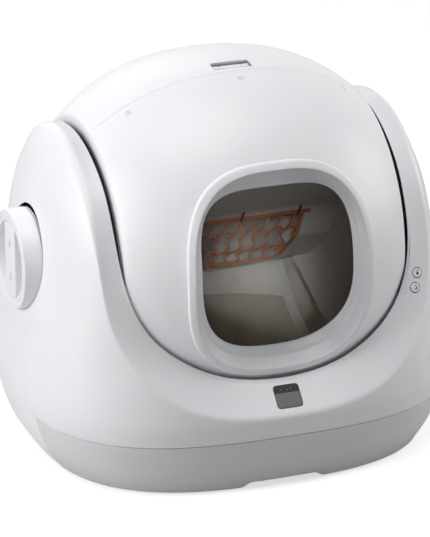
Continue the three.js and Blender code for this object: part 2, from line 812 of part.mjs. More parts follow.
function buildDrive() {
  const gearLow = drumHalfLength + gap;
  const gearHigh = gearLow + gearWidth;
  const meshAngle = radians(pinionDeg);
  const rim = gearRadius - gearModule - gearRimWidth;
  const ring = prismX(toothOutline(gearTeeth, 0, pivotHeight, meshAngle), gearLow, gearHigh);
  addPart('ring_gear', ring.subtract(barX(gearLow - cutOver, gearHigh + cutOver, rim)), 'nylon');

  const pinionPhase = meshAngle + Math.PI + Math.PI / pinionTeeth;
  const pinion = prismX(toothOutline(pinionTeeth, axleY, axleZ, pinionPhase), gearLow, gearHigh);
  const motorFace = frameOffset + framePlate + gap;
  const shaft = barX(gearLow, motorFace + gearboxLength / 2, shaftRadius, axleY, axleZ, smallSides);
  addPart('drive_pinion', pinion.add(shaft), 'nylon');

  const socket = barX(0, motorFace + gearboxLength / 2 + gap, shaftRadius + runGap, axleY, axleZ, smallSides);
  const gearbox = barX(motorFace, motorFace + gearboxLength, gearboxRadius, axleY, axleZ, smallSides);
  const can = barX(motorFace, motorFace + gearboxLength + motorLength, motorRadius, axleY, axleZ, smallSides);
  addPart('drive_motor', gearbox.add(can).subtract(socket), 'steel');
}

// Closed outline round the entry as (x, height above the pivot), grown by an offset
function entryOutline(share, offset) {
  const halfWidth = THREE.MathUtils.lerp(entryHalfWidth, throatHalfWidth, share) + offset;
  const up = THREE.MathUtils.lerp(entryRise, throatHalfHeight, share) + offset;
  const down = THREE.MathUtils.lerp(entryFall, throatHalfHeight, share) + offset;
  const lift = THREE.MathUtils.lerp(entryLift, throatLift, share);
  const topPower = THREE.MathUtils.lerp(entryPower, throatTopPower, share);
  const lowPower = THREE.MathUtils.lerp(entryPower, throatLowPower, share);
  const points = [];
  for (let i = 0; i < entrySides; i += 1) {
    const t = (i / entrySides) * turn;
    const [s, c] = [Math.sin(t), Math.cos(t)];
    const power = c > 0 ? topPower : lowPower;
    const x = halfWidth * Math.sign(s) * Math.abs(s) ** (2 / power);
    const h = lift + (c > 0 ? up : down) * Math.sign(c) * Math.abs(c) ** (2 / power);
    points.push([x, h]);
  }
  return points;
}

// Ring of points over the drum's front: the outline laid at a lift off its surface, then pushed inwards
function entryRing(share, offset, lift, depth = 0) {
  return entryOutline(share, offset).map(([x, h], i) => {
    const c = Math.cos((i / entrySides) * turn);
    const push = depth * (throatDepthTop + throatDepthLow * Math.max(0, -c) ** 2);
    const r = drumProfile(x) + lift;
    return new THREE.Vector3(x, -Math.sqrt(r * r - h * h) + push, pivotHeight + h);
  });
}

function buildDrum() {
  const shell = drumSolid(drumHalfLength, 0).subtract(drumSolid(drumHalfLength + cutOver, drumWall));
  const hole = prismY(
    entryOutline(0, gap).map(([x, h]) => [x, pivotHeight + h]).reverse(), -farAway, 0);
  let front = shell.intersect(frontWedge(-gap / 2)).subtract(hole);
  let rear = shell.subtract(frontWedge(gap / 2));

  const plugPlaces = [['plug_left', -plugSpread], ['plug_middle', 0], ['plug_right', plugSpread]];
  plugPlaces.forEach(([name, x]) => {
    const seat = crownSeat(x, plugDeg);
    front = front.subtract(peg(seat, -plugDepth - drumWall, cutOver, plugRadius + gap));
    const head = peg(seat, -plugDepth, plugProud, plugRadius);
    addPart(name, head, 'shade');
  });

  const seat = crownSeat(0, latchDeg);
  const floorLift = -drumWall - latchWell;
  const wellDepth = latchWidth + latchTravel + latchRim;
  const wellLength = latchLength + 2 * gap + latchRim;
  const trayLength = latchLength + 3 * latchRim;
  const trayDepth = wellDepth + 2 * latchRim;
  const tray = plate(seat, floorLift - latchRim, -latchRim, trayLength, trayDepth, latchRim);
  const well = plate(seat, floorLift, cutOver + drumWall, wellLength, wellDepth, latchRim);
  rear = rear.add(tray).subtract(well);
  const bar = plate(shiftedSeat(seat, latchTravel / 2 + latchRim / 2 - gap), floorLift + gap,
    floorLift + gap + latchThickness, latchLength, latchWidth, latchRim);
  addPart('drum_front', front, 'white');
  addPart('drum_rear', rear, 'white');
  addPart('lid_latch', bar, 'shade');

  const face = drumHalfLength;
  [['left_end_disc', -1], ['right_end_disc', 1]].forEach(([name, side]) => {
    const span = (a, b) => (side > 0 ? [a, b] : [-b, -a]);
    const [inside, outside] = span(face - endDiscThickness, face);
    const disc = drumSolid(face, drumWall + gap).intersect(
      block(inside, outside, -farAway, farAway, -farAway, farAway));
    const hub = barX(...span(face - endDiscThickness, face - endDiscThickness + hubOut), hubBore + hubWall);
    const boreStart = side > 0 ? face - endDiscThickness / 2 : face - endDiscThickness - cutOver;
    const bore = barX(...span(boreStart, face + hubOut), hubBore);
    addPart(name, disc.add(hub).subtract(bore), 'white');
  });
}

// Seat on the drum's crown at a place along the axis and an angle up from the front
function crownSeat(x, degrees) {
  const a = radians(degrees);
  const r = drumProfile(x);
  const slope = (drumProfile(x + gap) - drumProfile(x - gap)) / (2 * gap);
  const normal = new THREE.Vector3(-slope, -Math.cos(a), Math.sin(a)).normalize();
  const across = new THREE.Vector3(0, -Math.sin(a), -Math.cos(a));
  const along = normal.clone().cross(across);
  const point = new THREE.Vector3(x, -r * Math.cos(a), pivotHeight + r * Math.sin(a));
  return { point, normal, across, along };
}

// The same seat moved forwards over the crown
function shiftedSeat(seat, shift) {
  return { ...seat, point: seat.point.clone().addScaledVector(seat.across, shift) };
}

function buildEntry() {
  const rings = [
    entryRing(0, beadWidth, seatGap),
    entryRing(0, beadWidth - beadLip, beadRise - beadLand / 2),
    entryRing(0, beadWidth - beadLand / 2, beadRise),
    entryRing(0, beadWidth - beadLand - beadLand / 2, beadRise),
    entryRing(funnelShare, 0, 0),
    entryRing(brinkShare, 0, 0, brinkDepthShare),
    entryRing(1, 0, 0, 1),
    entryRing(1, throatStep - cutOver, -throatStep / 2, 1),
    entryRing(funnelBackShare, throatStep / 2, -throatStep - drumWall, funnelBackDepthShare),
    entryRing(0, 0, -drumWall - gap),
    entryRing(0, 0, seatGap),
  ];
  addPart('entry_ring', loopLoft(rings.reverse()), 'white');
}

// The run of the bent panel moved off its middle line, upwards where the offset is positive
function runAt(offset) {
  const way = (i) => {
    const [[y0, h0], [y1, h1]] = [panelRun[i], panelRun[i + 1]];
    return new THREE.Vector2(h0 - h1, y1 - y0).normalize();
  };
  const last = panelRun.length - 1;
  return panelRun.map(([y, h], i) => {
    const before = way(Math.max(0, i - 1));
    const mitre = way(Math.min(i, last - 1)).add(before).normalize();
    const reach = offset / mitre.dot(before);
    return [y + mitre.x * reach, pivotHeight + h + mitre.y * reach];
  });
}

const stayLength = drumHalfLength - endDiscThickness - gap;

// The bent panel between the crown over the entry and the back wall
function bentPanel() {
  const half = panelThickness / 2;
  return prismX([...runAt(-half), ...runAt(half).reverse()], -drumHalfLength, drumHalfLength)
    .intersect(drumSolid(stayLength, drumWall + gap));
}

// All the space on and above the panel, with the gap that a clip under it keeps
function panelAbove() {
  const under = runAt(-panelThickness / 2 - gap);
  const [first] = under;
  return prismX([...under, [farAway, -farAway], [farAway, farAway], [first[0], farAway]], -farAway, farAway);
}

// Depth reached at a distance down the panel from its knee
function depthAt(distance) {
  let left = distance;
  for (let i = 1; i + 2 < panelRun.length; i += 1) {
    const [[y0, h0], [y1, h1]] = [panelRun[i], panelRun[i + 1]];
    const length = Math.hypot(y1 - y0, h1 - h0);
    if (left < length || i + 3 === panelRun.length) return y0 + ((y1 - y0) * left) / length;
    left -= length;
  }
  return sieveStart;
}

// Plan outline of the sieve with the tabs at its top edge, grown by an offset
function sieveOutline(offset) {
  const [w, r] = [sieveHalfWidth + offset, sieveRound + offset];
  const [tab, low] = [sieveTabHalf + offset, depthAt(sieveTopRim) + offset];
  const top = sieveStart - offset;
  const points = [[-w, low], [-tab, low], [-tab, top], [tab, top], [tab, low], [w, low]];
  for (let i = 0; i <= sieveSteps; i += 1) {
    const t = (i / sieveSteps) * Math.PI;
    points.push([w * Math.cos(t), sieveStraight + r * Math.sin(t)]);
  }
  return points;
}

// Plan outline of the part of the sieve that has holes
function holeField() {
  const [w, r] = [sieveHalfWidth - sieveRim, sieveRound - sieveRim];
  const points = [[-w, depthAt(sieveTopRim)], [w, depthAt(sieveTopRim)]];
  for (let i = 0; i <= sieveSteps; i += 1) {
    const t = (i / sieveSteps) * Math.PI;
    points.push([w * Math.cos(t), sieveStraight + r * Math.sin(t)]);
  }
  return points;
}

// Closed outline drawn in by a distance, its points in the order that keeps the inside on the left
function drawnIn(points, distance) {
  const count = points.length;
  const inward = (i) => {
    const [[x0, y0], [x1, y1]] = [points[i % count], points[(i + 1) % count]];
    return new THREE.Vector2(y0 - y1, x1 - x0).normalize();
  };
  return points.map(([x, y], i) => {
    const before = inward(i + count - 1);
    const after = inward(i);
    const reach = distance / (1 + before.dot(after));
    return [x + (before.x + after.x) * reach, y + (before.y + after.y) * reach];
  });
}

// Upright prism through the sieve for the hole of one row and column
function sieveHole(row, column) {
  const mirrored = row % 2 === 0;
  const startX = (column + (mirrored ? 0 : 1 - rowStepShare)) * cellPitchX;
  const startRun = row * cellPitchRun - cellStart;
  const way = mirrored ? -1 : 1;
  const corners = cellShares.map(([across, down]) => [
    startX + way * across * cellPitchX, startRun + down * cellPitchRun]);
  const hole = drawnIn(mirrored ? corners : corners.reverse(), cellRib / 2);
  return prismZ(hole.map(([x, run]) => [x, depthAt(run)]), -farAway, farAway);
}

function buildInterior() {
  const panel = bentPanel();
  const outside = prismZ(sieveOutline(gap / 2), -farAway, farAway);
  addPart('litter_partition', panel.subtract(outside), 'shade');

  let sieve = panel.intersect(prismZ(sieveOutline(-gap / 2), -farAway, farAway));
  const field = prismZ(holeField(), -farAway, farAway);
  const columns = Math.ceil(sieveHalfWidth / cellPitchX);
  for (let row = 0; row < cellRows; row += 1) {
    for (let column = -columns; column <= columns; column += 1) {
      sieve = sieve.subtract(sieveHole(row, column).intersect(field));
    }
  }
  addPart('litter_sieve', sieve, 'orange');

  const [kneeY, kneeH] = panelRun[1];
  hookShares.forEach((share, i) => {
    const x = share * sieveHalfWidth;
    const half = hookWidth / 2;
    const low = pivotHeight + kneeH - hookLength;
    const [front, back] = [kneeY - hookThickness, kneeY + hookLength];
    const hook = block(x - half, x + half, front, back, low, low + 2 * hookLength).subtract(panelAbove());
    addPart(`sieve_hook_${i + 1}`, hook, 'dark');
  });

  const stop = Math.min(matHalfLength, stayLength);
  const mat = drumSolid(stop, drumWall + gap)
    .subtract(drumSolid(stop + cutOver, drumWall + gap + matThickness))
    .intersect(block(-farAway, farAway, -farAway, farAway, -farAway, matTop));
  addPart('litter_mat', mat, 'mat');
}

function buildFilterSide() {
  const frameFace = frameOffset + framePlate + gap;
  const ductStart = frameFace + fanDepth + gap;
  const half = fanSide / 2;

  // Fan frame with three arms and an axle behind the rotor
  let fan = block(-frameFace - fanDepth, -frameFace, -half, half, pivotHeight - half, pivotHeight + half)
    .subtract(barX(-farAway, 0, fanBore));
  for (let i = 0; i < 3; i += 1) {
    const arm = new THREE.BoxGeometry(fanArmDepth, fanArmWidth, fanBore + cutOver);
    arm.translate(-frameFace - fanDepth + fanArmDepth / 2, 0, (fanBore + cutOver) / 2);
    arm.rotateX((i / 3) * turn);
    arm.translate(0, 0, pivotHeight);
    fan = fan.add(solidFrom(arm));
  }
  const armFace = -frameFace - fanDepth + fanArmDepth;
  fan = fan.add(barX(armFace - fanArmDepth, armFace, fanHubRadius))
    .add(barX(armFace - fanArmDepth, armFace + fanAxleLength, fanAxleRadius, 0, pivotHeight, smallSides));
  addPart('fan_frame', fan, 'dark');

  // Rotor: a hub with slanted blades, turning on the axle
  const hubStart = armFace + gap;
  let rotor = barX(hubStart, hubStart + fanHubLength, fanHubRadius);
  const bladeLength = fanBore - runGap * 3 - fanHubRadius + cutOver;
  for (let i = 0; i < fanBlades; i += 1) {
    const blade = new THREE.BoxGeometry(fanHubLength, fanBladeThickness, bladeLength);
    blade.rotateZ(radians(fanBladeDeg));
    blade.translate(hubStart + fanHubLength / 2, 0, fanHubRadius - cutOver + bladeLength / 2);
    blade.rotateX((i / fanBlades) * turn);
    blade.translate(0, 0, pivotHeight);
    rotor = rotor.add(solidFrom(blade));
  }
  const axleEnd = armFace + fanAxleLength;
  const boreRadius = fanAxleRadius + runGap / 2;
  const axleHole = barX(hubStart - cutOver, axleEnd + gap, boreRadius, 0, pivotHeight, smallSides);
  addPart('fan_rotor', rotor.subtract(axleHole), 'grey');

  // Duct from the fan to the hole in the ear, with a flange behind the knob
  const flangeFace = knobSeat - gap;
  const duct = barX(-flangeFace, -ductStart, ductRadius)
    .add(barX(-flangeFace, -flangeFace + ductFlange, knobRadius))
    .subtract(barX(-farAway, 0, ductRadius - ductWall));
  addPart('filter_duct', duct, 'shade');

  // Knob: a disc with two finger pockets beside its grip, and a spigot with two lugs
  const pocket = barX(-knobFace - cutOver, -knobFace + pocketDepth, pocketRadius)
    .subtract(block(-farAway, 0, -gripHalfWidth, gripHalfWidth, 0, farAway));
  const edge = new THREE.CylinderGeometry(knobRadius, knobRadius - knobEdge, knobEdge, roundSides);
  edge.rotateZ(-Math.PI / 2);
  edge.translate(-knobFace + knobEdge / 2, 0, pivotHeight);
  const spigotEnd = -knobSeat + spigotLength;
  const lugY = spigotRadius + lugRise;
  const lugStart = spigotEnd - lugSize;
  const lugs = block(lugStart, spigotEnd, -lugY, lugY, pivotHeight - lugSize, pivotHeight + lugSize)
    .intersect(barX(lugStart, spigotEnd, lugY));
  const knob = barX(-knobFace + knobEdge, -knobSeat, knobRadius)
    .add(solidFrom(edge))
    .subtract(pocket)
    .add(barX(-knobSeat - cutOver, spigotEnd, spigotRadius))
    .add(lugs);
  addPart('filter_knob', knob, 'white');
  addPart('filter_cartridge', barX(spigotEnd + gap, spigotEnd + gap + filterLength, filterRadius), 'grey');
}

function buildControls() {
  const inFace = -displayThickness;
  const lens = plate(displaySeat, inFace, 0, displayWidth, displayHeight, displayCorner - gap);
  addPart('display_lens', lens, 'screen');
  const boardTop = inFace - gap;
  const boardWide = displayWidth + 2 * boardMargin;
  const boardTall = displayHeight + 2 * boardMargin;
  addPart('display_board',
    plate(displaySeat, boardTop - boardThickness, boardTop, boardWide, boardTall, boardMargin), 'board');

  const names = ['button_power', 'button_mode'];
  buttonSeats.forEach((seat, i) => {
    addPart(names[i], peg(seat, buttonProud - buttonLength, buttonProud, buttonRadius), 'white');
  });

  // Switch board behind both buttons, on two posts that reach the collar's wall
  const middle = midSeat(buttonSeats);
  const face = buttonProud - buttonLength - buttonTravel - 2 * gap;
  const span = buttonSeats[0].point.distanceTo(buttonSeats[1].point);
  const tall = span + 4 * buttonRadius;
  let board = plate(middle, face - boardThickness, face, 2 * buttonRadius, tall, boardMargin);
  [-1, 1].forEach((way) => {
    const seat = shiftedAlong(middle, way * (tall / 2 - postRadius - gap));
    board = board.add(peg(seat, face - boardThickness / 2, -skinWall - 2 * gap, postRadius));
  });
  addPart('button_board', board, 'board');
}

// Seat halfway between two seats, with its long way along the line that joins them
function midSeat([a, b]) {
  const point = a.point.clone().lerp(b.point, 0.5);
  const normal = a.normal.clone().add(b.normal).normalize();
  const across = a.point.clone().sub(b.point).normalize();
  return { point, normal, across, along: normal.clone().cross(across) };
}

// The same seat moved along its long way
function shiftedAlong(seat, shift) {
  return { ...seat, point: seat.point.clone().addScaledVector(seat.across, shift) };
}

function buildElectrics() {
  const wallFace = frameOffset + framePlate;
  const y0 = -controlAcross;
  const z0 = pivotHeight + controlLift - controlHeight / 2;
  let board = block(wallFace + controlPost, wallFace + controlPost + boardThickness,
    y0 - controlWidth / 2, y0 + controlWidth / 2, z0, z0 + controlHeight);
  [-1, 1].forEach((across) => {
    [-1, 1].forEach((up) => {
      const y = y0 + across * (controlWidth / 2 - 2 * postRadius);
      const z = z0 + controlHeight / 2 + up * (controlHeight / 2 - 2 * postRadius);
      const postEnd = wallFace + controlPost + cutOver / 2;
      board = board.add(barX(wallFace + gap, postEnd, postRadius, y, z, smallSides));
    });
  });
  addPart('control_board', board, 'board');

  const bore = new THREE.CylinderGeometry(socketBore, socketBore, socketLength, smallSides);
  bore.translate(socketX, socketWall - skinWall + cutOver, socketZ);
  const [left, right] = [socketX - socketWidth / 2, socketX + socketWidth / 2];
  const [low, high] = [socketZ - socketHeight / 2, socketZ + socketHeight / 2];
  const body = block(left, right, socketWall - socketLength, socketWall - skinWall / 2, low, high);
  addPart('power_socket', body.subtract(solidFrom(bore)), 'dark');
}

buildBase();
buildHousing();
buildDrawer();
buildFrames();
buildDrum();
buildEntry();
buildInterior();
buildDrive();
buildFilterSide();
buildControls();
buildElectrics();

export default model;
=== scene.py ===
import math

import bmesh
import bpy
import numpy as np
from mathutils import Matrix, Vector


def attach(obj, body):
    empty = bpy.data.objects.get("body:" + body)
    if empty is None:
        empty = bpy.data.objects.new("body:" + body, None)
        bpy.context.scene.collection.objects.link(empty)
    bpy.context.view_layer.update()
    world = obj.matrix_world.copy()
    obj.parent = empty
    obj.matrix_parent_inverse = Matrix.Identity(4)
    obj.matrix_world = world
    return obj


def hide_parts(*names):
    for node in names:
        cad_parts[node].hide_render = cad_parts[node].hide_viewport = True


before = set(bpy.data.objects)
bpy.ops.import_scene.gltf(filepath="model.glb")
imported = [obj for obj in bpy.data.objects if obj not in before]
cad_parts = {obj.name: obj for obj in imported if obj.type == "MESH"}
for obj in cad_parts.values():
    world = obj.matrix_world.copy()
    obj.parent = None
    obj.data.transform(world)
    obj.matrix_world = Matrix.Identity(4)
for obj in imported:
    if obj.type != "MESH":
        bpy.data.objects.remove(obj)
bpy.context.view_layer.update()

MM = 0.001
TURN = 2 * math.pi
MIRROR = np.array((-1, 1, 1))

# The photograph's camera: place in metres, turn about Z, look down from level, lean, and focal length in mm
CAMERA_PLACE = (-1.48756, -3.90551, 1.73415)
CAMERA_AZIMUTH = math.radians(-20.785)
CAMERA_ELEVATION = math.radians(19.765)
CAMERA_ROLL = -0.006
CAMERA_LENS = 210.39

# Sizes in millimetres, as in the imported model. Depths count from the middle, to the front they are negative.
BODY_HALF_WIDTH = 310
BODY_HALF_DEPTH = 265
EAR_TOP = 475
SEAM_FRONT = 80.5
SEAM_SIDE = 112
DRAWER_END = -85
REAR_PANEL_START = 100
NOTCH_HALF, NOTCH_SLOPE, NOTCH_DEPTH = 66, 19, 11
SOCKET_MIDDLE, SOCKET_HALF = (-150, 40), (9.3, 7.3)
PIVOT = 287
DRUM_RADIUS = 265
DRUM_HALF = 201
DRUM_BULGE = 275.49
DRUM_POWER = 2.227
LID_SEAM = math.radians(74.5)
GAP = 0.3

# Sizes of the looks alone: walls, the rise of the seam behind the drawer, and holes with the room round a piece
SHELL_WALL, BASE_WALL, DRUM_WALL = 2.6, 2.8, 3
SEAM_START, SEAM_RUN = -86, 36
LIP = 1.6
# The ears begin at EAR_FROM, and their crease grows softer over EAR_SOFT_RUN from EAR_SOFT_FROM up
EAR_FROM, EAR_BLEND = 300, 60
EAR_SOFT_FROM, EAR_SOFT_RUN = 322, 120
FRONT_SOFT, EAR_SOFT = 5, 11
# Above this height the lip's inner faces are painted black as the shade of the gap beside the drum
GAP_SHADE_LOW = 235
KNOB_HOLE, KNOB_HOLE_MIDDLE = 73.2, (2.4, PIVOT + 1.4)
DISPLAY_SIZE, DISPLAY_CORNER, DISPLAY_SHIFT = (37, 34), 4.7, 2
BUTTON_HOLE = 7.7
PLUG_HOLE = 4.6
PLUG_ANGLE = math.radians(70.6)
PLUG_PLACES = {"left": -158, "middle": 0, "right": 158}
LATCH_ANGLE = math.radians(79.3)
LATCH_WELL, LATCH_TRAY, LATCH_WELL_SHIFT = (56.6, 19.6, 2.6), (59.6, 22.6, 3), -4.1
LATCH_BAR, LATCH_BAR_SHIFT = (52, 8, 1.8), -2.2
PIN_ALONG, PIN_SHIFT = 15.7, 0.6
FEET_HALF = (185, 170)
SEAL_MIDDLE, SEAL_HALF = (207.2, 168.5), (2.0, 3.5)
COVE_START, COVE_FACE, COVE_RADIUS = 140, 196.4, 120.0
MAT_LEVEL, MAT_HALF, MAT_LIFT, MAT_THICKNESS = 120, 185, 7.3, 3.8
HOOK_PLACES = (-135.8, -48.2, 48.2, 135.8)

# Places of the two buttons, counted in tenths of the rim's places
BUTTON_PLACES = {"power": 40, "mode": 37}

# Soft edge of a wall at the seam: distance from the seam and inset
SEAM_EDGE = ((1.0, 0), (0.3, 0.45), (0, 1.2))

# Skin sections: height, half-width and half-depth shares, outline power
SKIN = np.array([
    (0, 0.871, 0.921, 2.7), (0.084, 0.948, 0.97, 2.75), (0.179, 0.99, 0.998, 2.8), (0.232, 1, 1, 2.8),
    (0.337, 0.987, 0.998, 2.85), (0.463, 0.958, 0.992, 2.95), (0.604, 0.919, 0.981, 3), (0.695, 0.903, 0.947, 3),
    (0.796, 0.877, 0.875, 3), (0.865, 0.848, 0.785, 3), (0.958, 0.794, 0.642, 3), (1, 0.761, 0.566, 3)])

# How much further the skin stands out at the front: height and share
FRONT_SHARES = np.array([(0, 1), (40, 1.0), (85, 1.02), (112, 1.043), (132, 1.04), (150, 1.033), (175, 1.018),
                         (205, 1.0), (245, 0.99), (300, 0.99), (360, 1)])


def gentle_curve(xs, ys):
    """A smooth curve through a table that never swings past its values"""
    xs, ys = np.asarray(xs, float), np.asarray(ys, float)
    step, rise = np.diff(xs), np.diff(ys)
    slope = rise / step
    lean = np.zeros_like(ys)
    for i in range(1, len(xs) - 1):
        if slope[i - 1] * slope[i] > 0:
            w1, w2 = 2 * step[i] + step[i - 1], step[i] + 2 * step[i - 1]
            lean[i] = (w1 + w2) / (w1 / slope[i - 1] + w2 / slope[i])
    lean[0], lean[-1] = slope[0], slope[-1]

    def at(x):
        x = np.clip(x, xs[0], xs[-1])
        k = np.clip(np.searchsorted(xs, x) - 1, 0, len(xs) - 2)
        t = (x - xs[k]) / step[k]
        return (ys[k] * (2 * t ** 3 - 3 * t ** 2 + 1) + lean[k] * step[k] * (t ** 3 - 2 * t ** 2 + t)
                + ys[k + 1] * (3 * t ** 2 - 2 * t ** 3) + lean[k + 1] * step[k] * (t ** 3 - t ** 2))

    return at


skin_width_at, skin_depth_at, skin_power_at = (gentle_curve(SKIN[:, 0] * EAR_TOP, SKIN[:, k]) for k in (1, 2, 3))
front_share_at = gentle_curve(FRONT_SHARES[:, 0], FRONT_SHARES[:, 1])


def skin_section(z, front):
    """Half width, half depth and outline power of the skin at a height, in its front or its rear half"""
    depth = skin_depth_at(z) * BODY_HALF_DEPTH * np.where(front, front_share_at(z), 1)
    return skin_width_at(z) * BODY_HALF_WIDTH, depth, skin_power_at(z)


def skin_point(phi, z, inset=0.0):
    """Point of the outer skin at an angle from the front (positive to +X) and a height"""
    a, b, n = skin_section(z, np.cos(phi) > 0)
    across, deep = np.abs(np.sin(phi)) / (a - inset), np.abs(np.cos(phi)) / (b - inset)
    r = (across ** n + deep ** n) ** (-1 / n)
    return np.stack(np.broadcast_arrays(r * np.sin(phi), -r * np.cos(phi), np.asarray(z, float)), axis=-1)


def skin_width(y, z):
    """Half width of the skin at a depth and a height"""
    a, b, n = skin_section(z, np.asarray(y) < 0)
    return a * (1 - np.minimum(1, np.abs(y / b)) ** n) ** (1 / n)


def seam_height(y):
    share = np.clip((y - SEAM_START) / SEAM_RUN, 0, 1)
    return SEAM_FRONT + (SEAM_SIDE - SEAM_FRONT) * (1 - np.cos(share * math.pi)) / 2


def drum_profile(x):
    """Drum radius at a place along its axis"""
    return DRUM_RADIUS * (1 - np.abs(np.asarray(x, float) / DRUM_BULGE) ** DRUM_POWER) ** (1 / DRUM_POWER)


def drum_slope(x):
    """How fast the drum's radius changes along its axis"""
    return float(drum_profile(x + 0.5) - drum_profile(x - 0.5))


def unit(way):
    return way / np.linalg.norm(way)


def soft_corner(start, corner, end, t):
    """Place at a share of a soft bend that leaves start and reaches end, drawn towards the corner"""
    return start * (1 - t) ** 2 + corner * 2 * t * (1 - t) + end * t ** 2


def placed(name, data):
    """A new object of the scene with its data"""
    obj = bpy.data.objects.new(name, data)
    bpy.context.scene.collection.objects.link(obj)
    return obj


def new_object(name, points, faces):
    mesh = bpy.data.meshes.new(name)
    mesh.from_pydata([tuple(float(v) * MM for v in p) for p in points], [], [tuple(int(i) for i in f) for f in faces])
    mesh.validate()
    return placed(name, mesh)


def tidy_mesh(obj):
    """Welds points that coincide and turns every closed surface outwards"""
    work = bmesh.new()
    work.from_mesh(obj.data)
    bmesh.ops.remove_doubles(work, verts=work.verts, dist=2e-6)
    bmesh.ops.recalc_face_normals(work, faces=work.faces)
    work.to_mesh(obj.data)
    work.free()


def net(points, wrap_rows=False, wrap_columns=False):
    """Quads between the rows and columns of a net of points"""
    points = np.asarray(points, float)
    rows, columns = points.shape[:2]
    faces = []
    for r in range(rows if wrap_rows else rows - 1):
        for c in range(columns if wrap_columns else columns - 1):
            r2, c2 = (r + 1) % rows, (c + 1) % columns
            faces.append((r * columns + c, r * columns + c2, r2 * columns + c2, r2 * columns + c))
    return points.reshape(-1, 3), faces


def joined(*parts):
    """Several lists of points and faces as one"""
    points, faces = [], []
    for p, f in parts:
        start = len(points)
        points.extend(map(tuple, p))
        faces.extend(tuple(i + start for i in face) for face in f)
    return points, faces


def capped_rings(rings):
    """Closed rings stretched between one another, with a face over either end"""
    points, faces = net(rings, wrap_columns=True)
    count = len(rings[0])
    return points, [*faces, tuple(range(count))[::-1], tuple(range(len(points) - count, len(points)))]


def shaped(obj, kind, **settings):
    """Gives an object a modifier and keeps what it makes as the object's mesh"""
    modifier = obj.modifiers.new(kind.lower(), kind)
    for key, value in settings.items():
        setattr(modifier, key, value)
    graph = bpy.context.evaluated_depsgraph_get()
    mesh = bpy.data.meshes.new_from_object(obj.evaluated_get(graph), depsgraph=graph)
    old = obj.data
    obj.modifiers.clear()
    obj.data = mesh
    bpy.data.meshes.remove(old)


def wall_of(obj, thickness, inner_material=0):
    """Gives an open surface, whose faces look outwards, its wall on the inner side"""
    shaped(obj, "SOLIDIFY", thickness=thickness * MM, offset=-1, use_even_offset=True, material_offset=inner_material)


def cut(obj, shape):
    """Takes a closed solid out of an object's mesh"""
    cutter = new_object("cutter", *shape)
    tidy_mesh(cutter)
    shaped(obj, "BOOLEAN", operation="DIFFERENCE", object=cutter, solver="EXACT")
    mesh = cutter.data
    bpy.data.objects.remove(cutter)
    bpy.data.meshes.remove(mesh)


def face_outwards(obj, centre):
    """Turns an open surface's faces away from a point"""
    middle = Vector(centre) * MM
    if sum((p.center - middle).dot(p.normal) * p.area for p in obj.data.polygons) < 0:
        obj.data.flip_normals()


def finish_piece(obj, body, replaced, smooth=32):
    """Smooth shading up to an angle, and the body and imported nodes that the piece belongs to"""
    for polygon in obj.data.polygons:
        polygon.use_smooth = True
    obj.data.set_sharp_from_angle(angle=math.radians(smooth))
    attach(obj, body)
    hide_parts(*replaced)


def solid(name, shape, material, body, slot, replaced):
    """A closed piece with one finish"""
    obj = new_object(name, *shape)
    obj.data.materials.append(material)
    tidy_mesh(obj)
    finish_piece(obj, body, replaced)


def turned_x(profile, steps=96, y=0.0, z=PIVOT):
    """Net of a profile of (x, radius) turned about a line along X"""
    angles = np.arange(steps) / steps * TURN
    return np.array([[(x, y - r * math.cos(a), z + r * math.sin(a)) for a in angles] for x, r in profile])


def rounded_box(width, height, corner, steps=6):
    """Outline of a rectangle with round corners"""
    points = []
    for i, (sx, sy) in enumerate([(1, -1), (1, 1), (-1, 1), (-1, -1)]):
        for k in range(steps + 1):
            a = -math.pi / 2 + (i + k / steps) * math.pi / 2
            points.append((sx * (width / 2 - corner) + corner * math.cos(a),
                           sy * (height / 2 - corner) + corner * math.sin(a)))
    return np.array(points)


def round_outline(x, y, radius, steps=20):
    angles = np.arange(steps) / steps * TURN
    return np.column_stack([x + radius * np.cos(angles), y + radius * np.sin(angles)])


def crescent(radius, width, start, end, steps=16):
    """Outline of a bent stroke, thickest in its middle"""
    turn = np.radians(np.linspace(start, end, steps))
    half = width / 2 * np.sin(np.linspace(0.12, 0.88, steps) * math.pi)
    outer = np.column_stack([(radius + half) * np.cos(turn), (radius + half) * np.sin(turn)])
    inner = np.column_stack([(radius - half) * np.cos(turn), (radius - half) * np.sin(turn)])
    return np.vstack([outer, inner[::-1]])


def laid(seat, points):
    """Points given as (along, up, out) laid on a seat, which is a place with its ways along, up and out"""
    place, along, up, normal = seat
    points = np.asarray(points, float)
    return place + points[..., 0:1] * along + points[..., 1:2] * up + points[..., 2:3] * normal


def moved(seat, along, up):
    """A seat shifted in its own plane"""
    return (seat[0] + seat[1] * along + seat[2] * up, *seat[1:])


def ring_at(outline, height, inset=0.0):
    """Outline at a height, drawn in towards its middle by an inset"""
    size = np.abs(outline).max(axis=0)
    return np.column_stack([outline * ((size - inset) / size), np.full(len(outline), height)])


def stacked(seat, outline, heights):
    """Closed solid on a seat: one outline at several heights, each with its inset"""
    return capped_rings([laid(seat, ring_at(outline, *height)) for height in heights])


def cut_hole(obj, seat, outline, low, high):
    """Cuts an outline through a wall between two heights over a seat"""
    cut(obj, stacked(seat, outline, ((low, 0), (high, 0))))


def turned_solid(name, seat, profile, material, body, slot, replaced, steps=48):
    """A small turned piece: profile of (radius, height) about a seat's outward way"""
    rings = [laid(seat, ring_at(round_outline(0, 0, r, steps), h)) for r, h in profile]
    solid(name, capped_rings(rings), material, body, slot, replaced)


def colour(code, alpha=1.0):
    """An sRGB hex colour as linear light"""
    parts = [int(code[i:i + 2], 16) / 255 for i in (1, 3, 5)]
    return tuple(c / 12.92 if c <= 0.04045 else ((c + 0.055) / 1.055) ** 2.4 for c in parts) + (alpha,)


